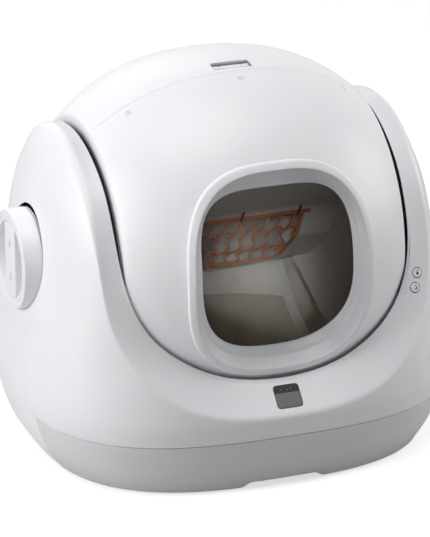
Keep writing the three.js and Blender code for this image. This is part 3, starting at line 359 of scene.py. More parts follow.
def add(tree, kind, fields=None, values=None, links=None):
    """Adds a node with its own fields, its sockets' values and the sockets that feed it"""
    node = tree.nodes.new(kind)
    for key, value in (fields or {}).items():
        setattr(node, key, value)
    for key, value in (values or {}).items():
        node.inputs[key].default_value = value
    for key, source in (links or {}).items():
        tree.links.new(source, node.inputs[key])
    return node


def started(name):
    """A new material with its tree, its shader and the place on the object"""
    material = bpy.data.materials.new(name)
    material.use_nodes = True
    tree = material.node_tree
    return material, tree, tree.nodes["Principled BSDF"], add(tree, "ShaderNodeTexCoord").outputs["Object"]


def moulded(name, first, second, rough=(0.36, 0.46), flow=60.0, grain=1.3, relief=0.02, metallic=0.0):
    """Moulded plastic: two close shades in slow flow marks (their size in mm), a spark-eroded grain, uneven gloss.
    The real grain is about 0.2 mm, too fine for the picture, so it is drawn at 1.3 mm to show at all. With finer
    marks the same holds for the film, the ink, the felt and the zinc plating."""
    material, tree, shader, place = started(name)
    flow_marks = add(tree, "ShaderNodeTexNoise", values={"Scale": 1 / (flow * MM), "Detail": 2.0, "Roughness": 0.45},
                     links={"Vector": place})
    shade = add(tree, "ShaderNodeMix", {"data_type": "RGBA"}, {6: colour(first), 7: colour(second)},
                {0: flow_marks.outputs["Fac"]})
    # Gloss changes over patches of 14 mm, as where a moulding has been touched and wiped
    patches = add(tree, "ShaderNodeTexNoise", values={"Scale": 1 / (14 * MM), "Detail": 3.0}, links={"Vector": place})
    gloss = add(tree, "ShaderNodeMapRange", values={"From Min": 0.3, "From Max": 0.7, "To Min": rough[0],
                                                     "To Max": rough[1]}, links={"Value": patches.outputs["Fac"]})
    pits = add(tree, "ShaderNodeTexNoise", values={"Scale": 1 / (grain * MM), "Detail": 2.0}, links={"Vector": place})
    bump = add(tree, "ShaderNodeBump", values={"Strength": 0.35, "Distance": relief * MM},
               links={"Height": pits.outputs["Fac"]})
    tree.links.new(shade.outputs[2], shader.inputs["Base Color"])
    tree.links.new(gloss.outputs["Result"], shader.inputs["Roughness"])
    tree.links.new(bump.outputs["Normal"], shader.inputs["Normal"])
    shader.inputs["Metallic"].default_value = metallic
    return material


# Shell, drum and knob: ABS from a spark-eroded tool, a soft even sheen with broad highlights
satin_abs = moulded("moulded_satin_white_abs", "#EDEEF0", "#E8E9EC")
# Drawer front: the same ABS, duller and a little greyer than the shell above it
drawer_abs = moulded("moulded_satin_drawer_abs", "#DADBDD", "#D5D6D8", rough=(0.42, 0.52))
# Base: the same ABS, duller than the shell and as light as it
satin_abs_base = moulded("moulded_satin_white_abs_base", "#EEEFF1", "#E9EAED", rough=(0.4, 0.5))
# Latch well: coloured grey as painted shade of the recess, which makes the white bar stand out
well_shade_abs = moulded("grey_well_painted_recess_shade", "#B3B4B7", "#AEAFB2")
# Throat of the entrance: the white ABS made greyer as painted shade of the band inside the bead, which sets off the
# white bead round it
throat_shade_abs = moulded("throat_abs_painted_shade", "#CFD0D3", "#CACBCE")
# Rear panel: the white ABS made greyer as painted shade of the back, which faces away from the light, with a dull face
rear_shade_abs = moulded("rear_panel_abs_painted_shade", "#C2C3C6", "#BEBFC2", rough=(0.42, 0.52))
# Inside of the drum: warm grey plastic, nearly matt, so that it shows no highlights in its shade
liner = moulded("moulded_warm_grey_liner", "#CFC9C3", "#C9C3BD", rough=(0.5, 0.6))
# Screw plugs: satin ABS, a shade darker than the cover, which makes them read as dots
plug_abs = moulded("moulded_satin_plug_abs", "#E2E3E5", "#DCDDE0")
# Display film: smooth dark grey with a small, sharp gloss
screen_face = moulded("grey_display_film", "#6C6B69", "#676664", rough=(0.2, 0.26), flow=20, relief=0.002)
# Button signs: pad-printed ink, dark and flat
print_ink = moulded("pad_printed_dark_ink", "#2B2C2F", "#333437", rough=(0.5, 0.6), flow=3)
# Duct and knob marks: light grey ABS with the shell's sheen
light_grey = moulded("moulded_light_grey_abs", "#CFD0D3", "#C7C8CC")
# Frames and clips: nylon with glass fibre, nearly black and dull
dark_frame = moulded("glass_filled_black_nylon", "#26272A", "#202124", rough=(0.5, 0.65))
# Tub, rotor and cartridge: polypropylene, grey with a waxy, blurred gloss
grey_pp = moulded("moulded_grey_polypropylene", "#7D7D80", "#737377", rough=(0.45, 0.6))
# Sieve: orange-brown polypropylene, waxy, its flow marks as wide as its cells
orange_pp = moulded("moulded_orange_polypropylene", "#C07A52", "#B37049", rough=(0.38, 0.5), flow=30)
# Mat: silicone, olive and matt, which dulls every highlight
mat_rubber = moulded("moulded_olive_silicone_mat", "#ADA698", "#A59E90", rough=(0.6, 0.75), flow=24)
# Gasket: black, matt rubber on the lip's inner wall, painted shade that makes the gap beside the drum dark
gasket_gap_shade = moulded("black_gasket_painted_gap_shade", "#0E0E10", "#0A0A0B", rough=(0.7, 0.85), flow=12)
# Gap seals: pressed felt without any gloss, its fibres of about 0.02 mm drawn as tufts of 0.8 mm
felt = moulded("pressed_black_felt", "#1B1B1D", "#121213", rough=(0.9, 1.0), flow=4, grain=0.8, relief=0.2)
# Feet: TPE, dark grey and matt
foot_tpe = moulded("moulded_grey_tpe_foot", "#3A3A3C", "#323234", rough=(0.7, 0.85))
# Display window: smoked acrylic, nearly black with a clear, sharp gloss
smoked_lens = moulded("smoked_acrylic_window", "#141416", "#101012", rough=(0.05, 0.09), relief=0.002)
# Circuit boards: green solder mask, glossy like a lacquer
board_mask = moulded("solder_mask_green", "#1D5A3A", "#174A2F", rough=(0.35, 0.5), flow=6)
# Motor: zinc-plated steel, a metal's reflection broken up by the plating's patches
zinc_steel = moulded("zinc_plated_motor_steel", "#9A9DA1", "#8C8F94", rough=(0.3, 0.42), flow=8, metallic=1.0)
# Gears: acetal, milky white and slightly waxy
acetal = moulded("moulded_acetal_gear", "#CFCFC6", "#C5C5BB", rough=(0.4, 0.5), flow=20)


def make_camera():
    data = bpy.data.cameras.new("camera")
    data.sensor_width = 36
    data.lens = CAMERA_LENS
    data.clip_end = 50
    camera = placed("camera", data)
    turned = Matrix.Rotation(CAMERA_AZIMUTH, 4, "Z") @ Matrix.Rotation(math.pi / 2 - CAMERA_ELEVATION, 4, "X")
    camera.matrix_world = Matrix.Translation(CAMERA_PLACE) @ turned @ Matrix.Rotation(CAMERA_ROLL, 4, "Z")
    bpy.context.scene.camera = camera


# The mouth's inner edge and the crease on the skin beside it, from the middle of the front over the right ear to
# the middle of the back. A crease's depth comes from the skin itself.
RIM_EDGE = np.array([
    (0, -237.3, 155.1), (71.3, -234.4, 163.3), (130.2, -227.5, 188.6), (176.3, -212.6, 227.5), (202.2, -196.4, 283.2),
    (211.1, -170.1, 352.5), (211.9, -126.1, 416.3), (213, -52.3, 457.9), (213.2, 0, 466), (212.8, 60, 458.5),
    (211.8, 120, 424), (210, 163, 370), (209, 182, 305), (196.4, 207.6, 260.7), (160.1, 229.7, 226.1),
    (104.5, 246.1, 200.4), (0, 256, 185)])
RIM_CREASE = np.array([
    (0, -277, 113.5), (93, -274, 121), (160, -259, 146), (204, -233, 188), (229, -205, 246), (236.5, -178, 330),
    (237, -134, 405), (241, -63, 459), (239, 0, 471.5), (241, 66, 459), (238.5, 131, 416), (240, 168, 368),
    (240.5, 182, 318), (232.6, 200, 269), (198.8, 228, 222.3), (139.4, 255, 187.8), (0, 265, 167)])


def smooth_path(points, count):
    """Evenly numbered points on a smooth curve through places, mirrored in the plane x = 0 at both its ends"""
    places = np.vstack([points[2:0:-1] * MIRROR, points, points[-2:-4:-1] * MIRROR])
    at = np.concatenate([[0], np.cumsum(np.sqrt(np.linalg.norm(np.diff(places, axis=0), axis=1)))])
    step = np.diff(at)
    size = len(at)
    table, rise = np.eye(size), np.zeros((size, 3))
    for i in range(1, size - 1):
        table[i, i - 1:i + 2] = step[i - 1], 2 * (step[i - 1] + step[i]), step[i]
        rise[i] = 6 * ((places[i + 1] - places[i]) / step[i] - (places[i] - places[i - 1]) / step[i - 1])
    bend = np.linalg.solve(table, rise)
    t = np.linspace(2, size - 3, count)
    k = np.minimum(t.astype(int), size - 2)
    f = (t - k)[:, None]
    h = step[k][:, None]
    return (places[k] * (1 - f) + places[k + 1] * f
            + ((1 - f) ** 3 - (1 - f)) * h ** 2 * bend[k] / 6 + (f ** 3 - f) * h ** 2 * bend[k + 1] / 6)


def rim_line(count):
    """Edge and crease side by side over half the mouth"""
    edges, creases = smooth_path(RIM_EDGE, count), smooth_path(RIM_CREASE, count)
    return [(e, skin_point(math.atan2(c[0], -c[1]), c[2])) for e, c in zip(edges, creases)]


def band_seat(step):
    """Middle of the mouth's band at a tenth of the rim's places, with its ways along, up and out"""
    line = rim_line((len(RIM_EDGE) - 1) * 10 + 1)
    (edge, crease), (edge_on, crease_on) = line[step], line[step + 1]
    place = (edge + crease) / 2
    up = unit(edge - crease)
    normal = unit(np.cross((edge_on + crease_on) / 2 - place, up))
    return place, np.cross(up, normal), up, normal


def display_seat():
    place, *ways = band_seat(0)
    return (place + np.array((DISPLAY_SHIFT, 0, 0)), *ways)


def drum_normal(p):
    """Outward way of the drum's surface beside a point"""
    slope = drum_slope(np.clip(p[0], -DRUM_HALF, DRUM_HALF))
    return unit(unit(np.array((0, p[1], p[2] - PIVOT))) - np.array((slope, 0, 0)))


def body_shell():
    """Shell from the seam up the skin, round the crease, over the mouth's band and down inside its lip"""
    half = rim_line(129)
    pairs = half + [(e * MIRROR, k * MIRROR) for e, k in half[1:-1][::-1]]
    count = len(pairs)
    columns = []
    for i, (edge, crease) in enumerate(pairs):
        inward = np.cross(drum_normal(edge), unit(pairs[(i + 1) % count][0] - pairs[i - 1][0]))
        if edge[2] > EAR_FROM:
            # On the ears the lip turns to look straight at the drum's axis
            radial = unit(np.array((0, -edge[1], PIVOT - edge[2])))
            blend = min(1, (edge[2] - EAR_FROM) / EAR_BLEND)
            inward = inward * (1 - blend) * np.sign(np.dot(inward, radial)) + radial * blend
        elif inward[2] > 0:
            inward = -inward
        inward = unit(inward)
        phi = math.atan2(crease[0], -crease[1])
        z_seam = float(seam_height(skin_point(phi, 95.0)[1])) + GAP / 2
        span = np.linalg.norm(edge - crease)
        across = (edge - crease) / span
        # The crease is softer on the ears than at the front, and never wider than the faces beside it allow
        ear_share = np.clip((crease[2] - EAR_SOFT_FROM) / EAR_SOFT_RUN, 0, 1)
        soft = min(FRONT_SOFT + (EAR_SOFT - FRONT_SOFT) * ear_share, span * 0.35, (crease[2] - z_seam) * 0.5)
        low, top = z_seam + SEAM_EDGE[0][0], crease[2] - soft * 0.96
        column = [skin_point(phi, z_seam + up, inset) for up, inset in SEAM_EDGE[::-1]]
        column += [skin_point(phi, low + (top - low) * k / 26) for k in range(1, 27)]
        start, end, stop = column[-1], crease + across * soft, edge - across * LIP
        column += [soft_corner(start, crease, end, k / 7) for k in range(1, 8)]
        column += [end + (stop - end) * k / 8 for k in range(1, 9)]
        column += [soft_corner(stop, edge, edge + inward * LIP, k / 5) for k in range(1, 6)]
        column += [edge + inward * depth for depth in (5, 8, 11)]
        columns.append(column)
    shell = new_object("shell_upper_housing", *net(np.array(columns).transpose(1, 0, 2), wrap_columns=True))
    shell.data.materials.append(satin_abs)
    shell.data.materials.append(gasket_gap_shade)
    # Painted shade of the gap: beside the drum's right end, whose inner wall the camera sees, the lip's whole inner
    # face is black, on the left its foot only
    last_row = len(columns[0]) - 1
    for polygon in shell.data.polygons:
        first_row = last_row - (4 if polygon.center.x > 0 else 1)
        if polygon.center.z > GAP_SHADE_LOW * MM and min(polygon.vertices) >= first_row * count:
            polygon.material_index = 1
    face_outwards(shell, (0, 0, 200))
    wall_of(shell, SHELL_WALL)
    cut(shell, capped_rings(turned_x([(-340, KNOB_HOLE), (-240, KNOB_HOLE)], 96, *KNOB_HOLE_MIDDLE)))
    width, height = DISPLAY_SIZE
    window = rounded_box(width + 2 * GAP, height + 2 * GAP, DISPLAY_CORNER + GAP)
    cut_hole(shell, display_seat(), window, -8, 8)
    for step in BUTTON_PLACES.values():
        cut_hole(shell, band_seat(step), round_outline(0, 0, BUTTON_HOLE, 40), -8, 8)
    finish_piece(shell, "housing", ["body_shell"])


def wall_heights(foot, top, rows):
    """Heights with insets up a wall: the soft edge of its foot, even rows and the soft edge below the seam"""
    low, high = foot[-1][0], top - SEAM_EDGE[0][0]
    return ([*foot] + [(low + (high - low) * k / rows, 0) for k in range(1, rows + 1)]
            + [(top - down, inset) for down, inset in SEAM_EDGE[1:]])


def skin_column(share, y, heights):
    """Points up the skin at a share of the way from its middle to a panel's end at depth y"""
    column = []
    for z, inset in heights:
        phi = share * math.atan2(float(skin_width(y, z)), abs(y))
        column.append(skin_point(phi if y < 0 else math.pi - phi, z, inset))
    return column


def skin_panel(name, shape, material):
    """An open part of the skin with a wall on its inner side"""
    panel = new_object(name, *shape)
    panel.data.materials.append(material)
    face_outwards(panel, (0, 0, 40))
    wall_of(panel, BASE_WALL)
    return panel


def drawer_front():
    """Front band below the seam, with the finger notch in its lower edge"""
    reach = math.atan2(float(skin_width(DRAWER_END, 10.0)), -DRAWER_END)
    columns = []
    for share in np.linspace(-1, 1, 151):
        x = float(skin_point(share * reach, 10.0)[0])
        low = max(3.0, min(NOTCH_DEPTH, NOTCH_DEPTH * (NOTCH_HALF - abs(x)) / NOTCH_SLOPE))
        heights = wall_heights([(low, 1.6), (low + 0.5, 0.6), (low + 1.6, 0)], SEAM_FRONT - GAP, 22)
        columns.append(skin_column(share, DRAWER_END - GAP, heights))
    front = skin_panel("drawer_front_panel", net(np.array(columns).transpose(1, 0, 2)), drawer_abs)
    finish_piece(front, "drawer", ["drawer_front"])


def base():
    """Side walls between the drawer's front and the rear panel, and the floor plate with the notch below"""
    walls = []
    for side in (-1, 1):
        columns = []
        for y in np.linspace(DRAWER_END + GAP / 2, REAR_PANEL_START - GAP / 2, 41):
            heights = wall_heights([(6.0, 2.4), (7.0, 0.8), (8.6, 0)], float(seam_height(y)) - GAP / 2, 20)
            columns.append([(side * (float(skin_width(y, z)) - inset), y, z) for z, inset in heights])
        walls.append(net(np.array(columns)[::side]))
    pan = skin_panel("base_side_walls", joined(*walls), satin_abs_base)
    finish_piece(pan, "housing", ["base_pan"])

    rings = [skin_point(np.arange(120) / 120 * TURN, z, inset) for z, inset in
             ((9.0, 60), (9.0, 4.5), (8.8, 3.6), (6.5, 3.4), (6.0, 4.5), (6.0, 60))]
    plate = new_object("base_floor_plate", *capped_rings(rings))
    plate.data.materials.append(satin_abs_base)
    tidy_mesh(plate)
    half, inner = NOTCH_HALF, NOTCH_HALF - NOTCH_SLOPE
    notch = ((-half, -2), (half, -2), (half, 0), (inner, NOTCH_DEPTH), (-inner, NOTCH_DEPTH), (-half, 0))
    cut(plate, capped_rings([np.array([(x, y, z) for x, z in notch]) for y in (-300, -225)]))
    finish_piece(plate, "housing", ["base_pan"])


def rear_panel():
    """Service panel across the back, with the opening of the power socket"""
    heights = wall_heights([(9.3, 0), (10, 0)], SEAM_SIDE - GAP / 2, 20)
    columns = [skin_column(share, REAR_PANEL_START + GAP, heights) for share in np.linspace(-1, 1, 141)]
    # The panel's greyer colour is painted shade of the back
    rear = skin_panel("rear_service_panel", net(np.array(columns)), rear_shade_abs)
    (x0, z0), (half_x, half_z) = SOCKET_MIDDLE, SOCKET_HALF
    corners = [(x0 + sx * half_x, z0 + sz * half_z) for sx, sz in ((-1, -1), (1, -1), (1, 1), (-1, 1))]
    cut(rear, capped_rings([np.array([(x, y, z) for x, z in corners]) for y in (200, 300)]))
    finish_piece(rear, "housing", ["rear_panel"])


# The drum's surface is walked along its section: to END_START along the barrel, then over END_ROUND round the soft
# edge of its end and over END_FACE in across the end face. END_RUNS are the rows of a net over those two.
# The left end stands END_SHIFT further out and the right one further in, so the gap beside the left ear is narrower.
END_AT, END_SHIFT = 203.5, 1.2
END_START, END_ROUND, END_FACE = 197.5, 9, 30
END_RUNS = END_START + np.concatenate([END_ROUND * np.arange(1, 11) / 10, END_ROUND + END_FACE * np.arange(1, 4) / 3])

# Half the gap between the drum's cover and its rear shell, as an angle
LID_GAP = 0.0006


def drum_point(run, angle):
    """Point of the drum at a distance along its section from the middle and an angle above its front"""
    run = np.asarray(run, float)
    side, far = np.sign(run), np.abs(run)
    first = np.array((END_START, float(drum_profile(END_START))))
    end = END_AT - END_SHIFT * side
    low = first[1] + drum_slope(END_START) * (end - END_START)
    t = np.clip((far - END_START) / END_ROUND, 0, 1)[..., None]
    bend = soft_corner(first, np.stack([end, low], axis=-1), np.stack([end, low - 5], axis=-1), t)
    inward = np.clip(far - END_START - END_ROUND, 0, None)
    x = side * np.where(far <= END_START, far, bend[..., 0])
    r = np.where(far <= END_START, drum_profile(np.minimum(far, END_AT)), bend[..., 1] - inward)
    return np.stack(np.broadcast_arrays(x, -r * np.cos(angle), PIVOT + r * np.sin(angle)), axis=-1)


def crown_seat(x, angle):
    """Seat on the drum's surface at a place along its axis and an angle above its front"""
    normal = unit(np.array((-drum_slope(x), -math.cos(angle), math.sin(angle))))
    up = np.array((0, math.sin(angle), math.cos(angle)))
    return drum_point(float(x), angle), unit(np.cross(up, normal)), up, normal


# Outline of the entry at its bead and at its throat: half width, reach up and down, height of its middle above the
# pivot, and the power of its upper and lower half
BEAD = np.array((127, 146.5, 130, 12.5, 2.8, 2.8))
THROAT = np.array((109, 114, 113.5, 18, 3.6, 2.6))

# Section of the entry ring: share from bead to throat, offset of the outline, lift off the drum, depth into it.
# A raised outer rim with a flat land, a steep first band, a small step, the throat's band and the way back inside.
ENTRY_SECTION = [
    (0, 8, 0.8, 0), (0, 8, 4.0, 0), (0, 7.8, 4.9, 0), (0, 7.2, 5.4, 0), (0, 6.4, 5.5, 0), (0, 5, 5.45, 0),
    (0, 3, 5.3, 0), (0, 1, 5.0, 0), (0, -0.6, 4.8, 0), (0.01, -1.4, 4.3, 0), (0.03, -1.7, 3.2, 0.01),
    (0.1, -1.7, 1.2, 0.05), (0.2, -1.5, -0.6, 0.12), (0.3, -1.2, -1.8, 0.2), (0.4, -0.8, -2.6, 0.28),
    (0.5, -0.4, -3.2, 0.36), (0.57, -0.1, -3.5, 0.42), (0.6, 0, -3.8, 0.46), (0.62, 0, -4.4, 0.5),
    (0.68, 0, -5.0, 0.6), (0.78, 0, -5.2, 0.72), (0.88, 0, -5.3, 0.84), (0.95, 0, -5.4, 0.94), (0.99, 0, -5.8, 1),
    (1, 0.5, -6.8, 1), (1, 2, -7.5, 1), (0.95, 3, -8, 1), (0.8, 2.6, -8, 0.85), (0.5, 2.2, -8, 0.6),
    (0.3, 1.5, -7, 0.3), (0.1, 0, -4.5, 0.05), (0, 0, -3.3, 0), (0, 0, 0.8, 0)]
THROAT_ROWS = (9, 26)
THROAT_DEPTH, THROAT_DEPTH_BELOW = 15, 21


def entry_outline(share, offset, t):
    """Entry outline as (x, height above the pivot), between the bead (share 0) and the throat (share 1)"""
    half, reach_up, reach_down, middle, upper, lower = BEAD + (THROAT - BEAD) * share
    s, c = np.sin(t), np.cos(t)
    power = np.where(c > 0, upper, lower)
    x = (half + offset) * np.sign(s) * np.abs(s) ** (2 / power)
    h = middle + (np.where(c > 0, reach_up, reach_down) + offset) * np.sign(c) * np.abs(c) ** (2 / power)
    return x, h


def entry_ring_points(share, offset, lift, depth, t):
    """A row of the entry ring round the drum: deeper below, and its bead 1.5 mm lower at its foot"""
    x, h = entry_outline(share, offset, t)
    push = depth * (THROAT_DEPTH + THROAT_DEPTH_BELOW * np.maximum(0, -np.cos(t)) ** 2)
    foot = np.clip(-h / 110, 0, 1) ** 2
    r = drum_profile(x) + lift - 1.5 * foot * (lift > 0.9)
    return np.stack([x, -np.sqrt(np.maximum(r * r - h * h, 1)) + push, PIVOT + h], axis=-1)


def even_turns(count):
    """Angles that walk round the entry outline in nearly even steps"""
    fine = np.linspace(0, TURN, 4001)
    x, h = entry_outline(0.3, 0, fine)
    walked = np.concatenate([[0], np.cumsum(np.hypot(np.diff(x), np.diff(h)))])
    return np.interp(np.arange(count) / count * walked[-1], walked, fine)


def drum_wall(shell):
    """Satin face and warm grey lining for an open surface of the drum"""
    shell.data.materials.append(satin_abs)
    shell.data.materials.append(liner)
    face_outwards(shell, (0, 0, PIVOT))
    wall_of(shell, DRUM_WALL, 1)


def drum_front():
    """Front cover: a net from the hole of the entry out to the cover's rectangle, then on over the drum's ends"""
    x, h = entry_outline(0, GAP, even_turns(200))
    inner = np.stack([x, np.arcsin(h / drum_profile(x)) * DRUM_RADIUS], axis=-1)
    half = np.array((END_START, (LID_SEAM - LID_GAP) * DRUM_RADIUS))
    centre = np.array((0, 10.0))
    away = inner - centre
    reach = ((half - np.sign(away) * centre) / np.maximum(np.abs(away), 1e-6)).min(axis=1)
    outer = centre + away * reach[:, None]
    for signs in ((-1, -1), (-1, 1), (1, -1), (1, 1)):
        corner = half * signs
        outer[np.argmin(np.linalg.norm(outer - corner, axis=1))] = corner
    rows = []
    for k in np.linspace(0, 1, 26):
        flat = inner * (1 - k) + outer * k
        rows.append(drum_point(flat[:, 0], flat[:, 1] / DRUM_RADIUS))
    sides = []
    for way in (-1, 1):
        edge = outer[np.abs(outer[:, 0] - way * END_START) < 1e-6]
        edge = edge[np.argsort(edge[:, 1])]
        runs = way * np.concatenate([[END_START], END_RUNS])
        sides.append(net(np.array([drum_point(run, edge[:, 1] / DRUM_RADIUS) for run in runs])))
    cover = new_object("drum_front_cover", *joined(net(np.array(rows), wrap_columns=True), *sides))
    tidy_mesh(cover)
    drum_wall(cover)
    for x in PLUG_PLACES.values():
        cut_hole(cover, crown_seat(x, PLUG_ANGLE), round_outline(0, 0, PLUG_HOLE, 28), -9, 5)
    finish_piece(cover, "drum", ["drum_front"])


def drum_rear():
    """Rear shell of the drum, from the cover's seam round to its lower edge, with the latch's well at the crown"""
    runs = np.concatenate([-END_RUNS[::-1], np.linspace(-END_START, END_START, 75), END_RUNS])
    angles = np.linspace(LID_SEAM + LID_GAP, TURN - LID_SEAM - LID_GAP, 150)
    shell = new_object("drum_rear_shell", *net(np.array([drum_point(runs, a) for a in angles])))
    drum_wall(shell)
    seat = moved(crown_seat(0, LATCH_ANGLE), 0, LATCH_WELL_SHIFT)
    well, tray = rounded_box(*LATCH_WELL), rounded_box(*LATCH_TRAY)
    cut_hole(shell, seat, well, -12, 8)
    # The well is an open tray: outer wall, rim, inner wall and floor as one closed skin
    rings = [ring_at(tray, *h) for h in ((-8.6, 8), (-8.6, 0), (-3.1, 0))]
    rings += [ring_at(well, *h) for h in ((-3.1, 0), (-6.4, 0), (-7.0, 0.6), (-7.0, 5))]
    # The well's grey colour is painted shade of the recess round the bar
    solid("latch_well", capped_rings([laid(seat, ring) for ring in rings]), well_shade_abs, "drum", "white_shell",
          ["drum_rear"])
    finish_piece(shell, "drum", ["drum_rear"])


def entry_ring():
    """Frame of the entrance: white bead outside, the throat inside greyer as painted shade"""
    count = 240
    rings = np.array([entry_ring_points(*row, even_turns(count)) for row in ENTRY_SECTION])
    ring = new_object("entry_frame", *net(rings, wrap_rows=True, wrap_columns=True))
    ring.data.materials.append(satin_abs)
    ring.data.materials.append(throat_shade_abs)
    # The throat's rows get the greyer finish: painted shade of the band inside the bead
    first, last = THROAT_ROWS
    for polygon in ring.data.polygons:
        if min(polygon.vertices) >= first * count and max(polygon.vertices) < last * count:
            polygon.material_index = 1
    tidy_mesh(ring)
    finish_piece(ring, "drum", ["entry_ring"], smooth=50)


def end_discs():
    """Ends of the drum with their stubs: the right one is closed, the left one open for the air filter"""
    for name, side in (("left_end_disc", -1), ("right_end_disc", 1)):
        closed = side > 0
        profile = [(197, 0.001), (197, 60)] if closed else [(197, 60.6)]
        profile += [(197, 120), (197, 183), (197.4, 184), (199.8, 184), (200.2, 183), (200.2, 67), (202, 66),
                    (206.6, 66), (207, 65.5), (207, 61), (206.6, 60.6)]
        profile += [(199.4, 60.6), (199.4, 0.001)] if closed else []
        turned = turned_x([(side * x, r) for x, r in profile], 128)
        solid(f"drum_{name}", net(turned, wrap_columns=True, wrap_rows=not closed), liner, "drum", "white_shell",
              [name])


def inner_coves():
    """Soft corners inside the drum, from its barrel in over its ends down to COVE_RADIUS, with a thin back"""
    start = np.array((COVE_START, float(drum_profile(COVE_START)) - 3.6))
    corner, last = np.array((COVE_FACE, 206.2)), np.array((COVE_FACE, COVE_RADIUS))
    face = soft_corner(start, corner, last, np.linspace(0, 1, 15)[:, None])
    back = [(COVE_FACE + 0.5, COVE_RADIUS), (COVE_FACE + 0.5, 190.0), (COVE_START, start[1] + 0.4)]
    for name, side in (("left", -1), ("right", 1)):
        turned = turned_x([(side * x, r) for x, r in [*face, *back]], 144)
        solid(f"drum_cove_{name}", net(turned, wrap_rows=True, wrap_columns=True), liner, "drum", "white_shell",
              ["drum_rear"])


def gap_seals():
    """Felt strips in the gaps beside the drum's ends: 4 mm wide, 7 mm high, with round edges"""
    angles = np.arange(16) / 16 * TURN
    out, up = (np.sign(way) * np.abs(way) ** 0.6 for way in (np.cos(angles), np.sin(angles)))
    (x, r), (half_width, half_height) = SEAL_MIDDLE, SEAL_HALF
    for name, side in (("left_gap_seal", -1), ("right_gap_seal", 1)):
        profile = [(side * (x + half_width * a), r + half_height * b) for a, b in zip(out, up)]
        solid(f"felt_{name}", net(turned_x(profile, 128), wrap_rows=True, wrap_columns=True), felt, "housing", "felt",
              [name])


# The bent panel that carries the sieve, from the drum's rear top to its front: depth and height above the pivot at
# its corners, each rounded over KNEE, and the distance of each corner down the run from the first one
RUN = np.array([(-190, 190), (30, 13), (60, -42), (130, -97), (215, -137), (250, -150)], float)
RUN_AT = np.concatenate([[0], np.cumsum(np.linalg.norm(np.diff(RUN, axis=0), axis=1))])
RUN_AT -= RUN_AT[1]
KNEE = 9.0
PANEL_LOW, PANEL_HIGH, PANEL_THICKNESS = -275, 322, 3
PANEL_ROOM, PANEL_HALF_MAX, PANEL_HALF_MIN = 4.8, 196.7, 15


def on_run(s, lift):
    """Depth and height at a distance down the bent panel from its knee, at a lift off its middle"""
    corners = [k for k in range(1, len(RUN) - 1) if abs(s - RUN_AT[k]) < KNEE]
    if corners:
        k = corners[-1]
        before, after = unit(RUN[k] - RUN[k - 1]), unit(RUN[k + 1] - RUN[k])
        share = (s - RUN_AT[k] + KNEE) / (2 * KNEE)
        place = soft_corner(RUN[k] - before * KNEE, RUN[k], RUN[k] + after * KNEE, share)
        way = unit(before * (1 - share) + after * share)
    else:
        k = int(np.clip(np.searchsorted(RUN_AT, s) - 1, 0, len(RUN) - 2))
        way = unit(RUN[k + 1] - RUN[k])
        place = RUN[k] + way * (s - RUN_AT[k])
    return place[0] - way[1] * lift, PIVOT + place[1] + way[0] * lift


RUN_STEPS = np.linspace(-280, 330, 2441)
RUN_DEPTHS = np.array([on_run(s, 0)[0] for s in RUN_STEPS])


def bent_plate(name, outlines, edge, material, replaced):
    """Flat plate with holes, drawn as (x, run), with rounded edges, then bent down the panel's run"""
    curve = bpy.data.curves.new(name, "CURVE")
    curve.dimensions = "2D"
    curve.fill_mode = "BOTH"
    curve.extrude = (PANEL_THICKNESS / 2 - edge) * MM
    curve.bevel_depth = edge * MM
    curve.bevel_resolution = 1
    curve.offset = -edge * MM
    for outline in outlines:
        spline = curve.splines.new("POLY")
        spline.points.add(len(outline) - 1)
        for point, (x, s) in zip(spline.points, outline):
            point.co = (x * MM, -s * MM, 0, 1)
        spline.use_cyclic_u = True
    flat = placed(name + "_flat", curve)
    graph = bpy.context.evaluated_depsgraph_get()
    mesh = bpy.data.meshes.new_from_object(flat.evaluated_get(graph), depsgraph=graph)
    bpy.data.objects.remove(flat)
    work = bmesh.new()
    work.from_mesh(mesh)
    bmesh.ops.remove_doubles(work, verts=work.verts, dist=1e-6)
    # The plate is cut across every 15 mm and closely at its bends, so that it follows them
    cuts = [s for corner in RUN_AT[1:-1] for s in corner + np.linspace(-KNEE, KNEE, 9)]
    for s in [*cuts, *np.arange(-270, 320, 15.0)]:
        bmesh.ops.bisect_plane(work, geom=work.verts[:] + work.edges[:] + work.faces[:],
                               plane_co=(0, -s * MM, 0), plane_no=(0, 1, 0), dist=1e-7)
    for v in work.verts:
        y, z = on_run(-v.co.y / MM, v.co.z / MM)
        v.co = (v.co.x, y * MM, z * MM)
    bmesh.ops.recalc_face_normals(work, faces=work.faces)
    work.to_mesh(mesh)
    work.free()
    plate = placed(name, mesh)
    plate.data.materials.append(material)
    finish_piece(plate, "drum", replaced)


# The sieve and its holes in millimetres across and down the run: half width of the sieve, of the tabs at its top and
# of the field of holes; where the sieve starts, the depths at which its tabs end and its round foot starts, and the
# radii of the foot and of the field's end
SIEVE_HALF, SIEVE_TAB, FIELD_HALF = 146, 155, 141
SIEVE_TOP, TAB_DEPTH, FOOT_DEPTH, FOOT_RADIUS, FIELD_RADIUS = 15, 33, 120, 85, 80
CELL_PITCH_X, CELL_PITCH_RUN, CELL_SHIFT, CELL_RIB, CELL_MIN_AREA = 20.3, 62.5, 14, 3.0, 25
FIRST_CELL = (7.5, -24.5)
# One hole between two zigzag ribs; the next row is shifted sideways
CELL = [(12.5, 10), (7, 22), (17.5, 46), (14, 62.5), (6.2, 72.5), (-6.3, 62.5), (-2.8, 46), (-13.3, 22),
        (-7.8, 10), (0, 0)]


def run_for_depth(y):
    """Distance down the run from the knee at which the panel reaches a depth"""
    return float(np.interp(y, RUN_DEPTHS, RUN_STEPS))


def round_foot(half, radius):
    """Round lower end of the sieve from right to left"""
    return [(half * math.cos(t), run_for_depth(FOOT_DEPTH + radius * math.sin(t))) for t in np.linspace(0, math.pi, 33)]


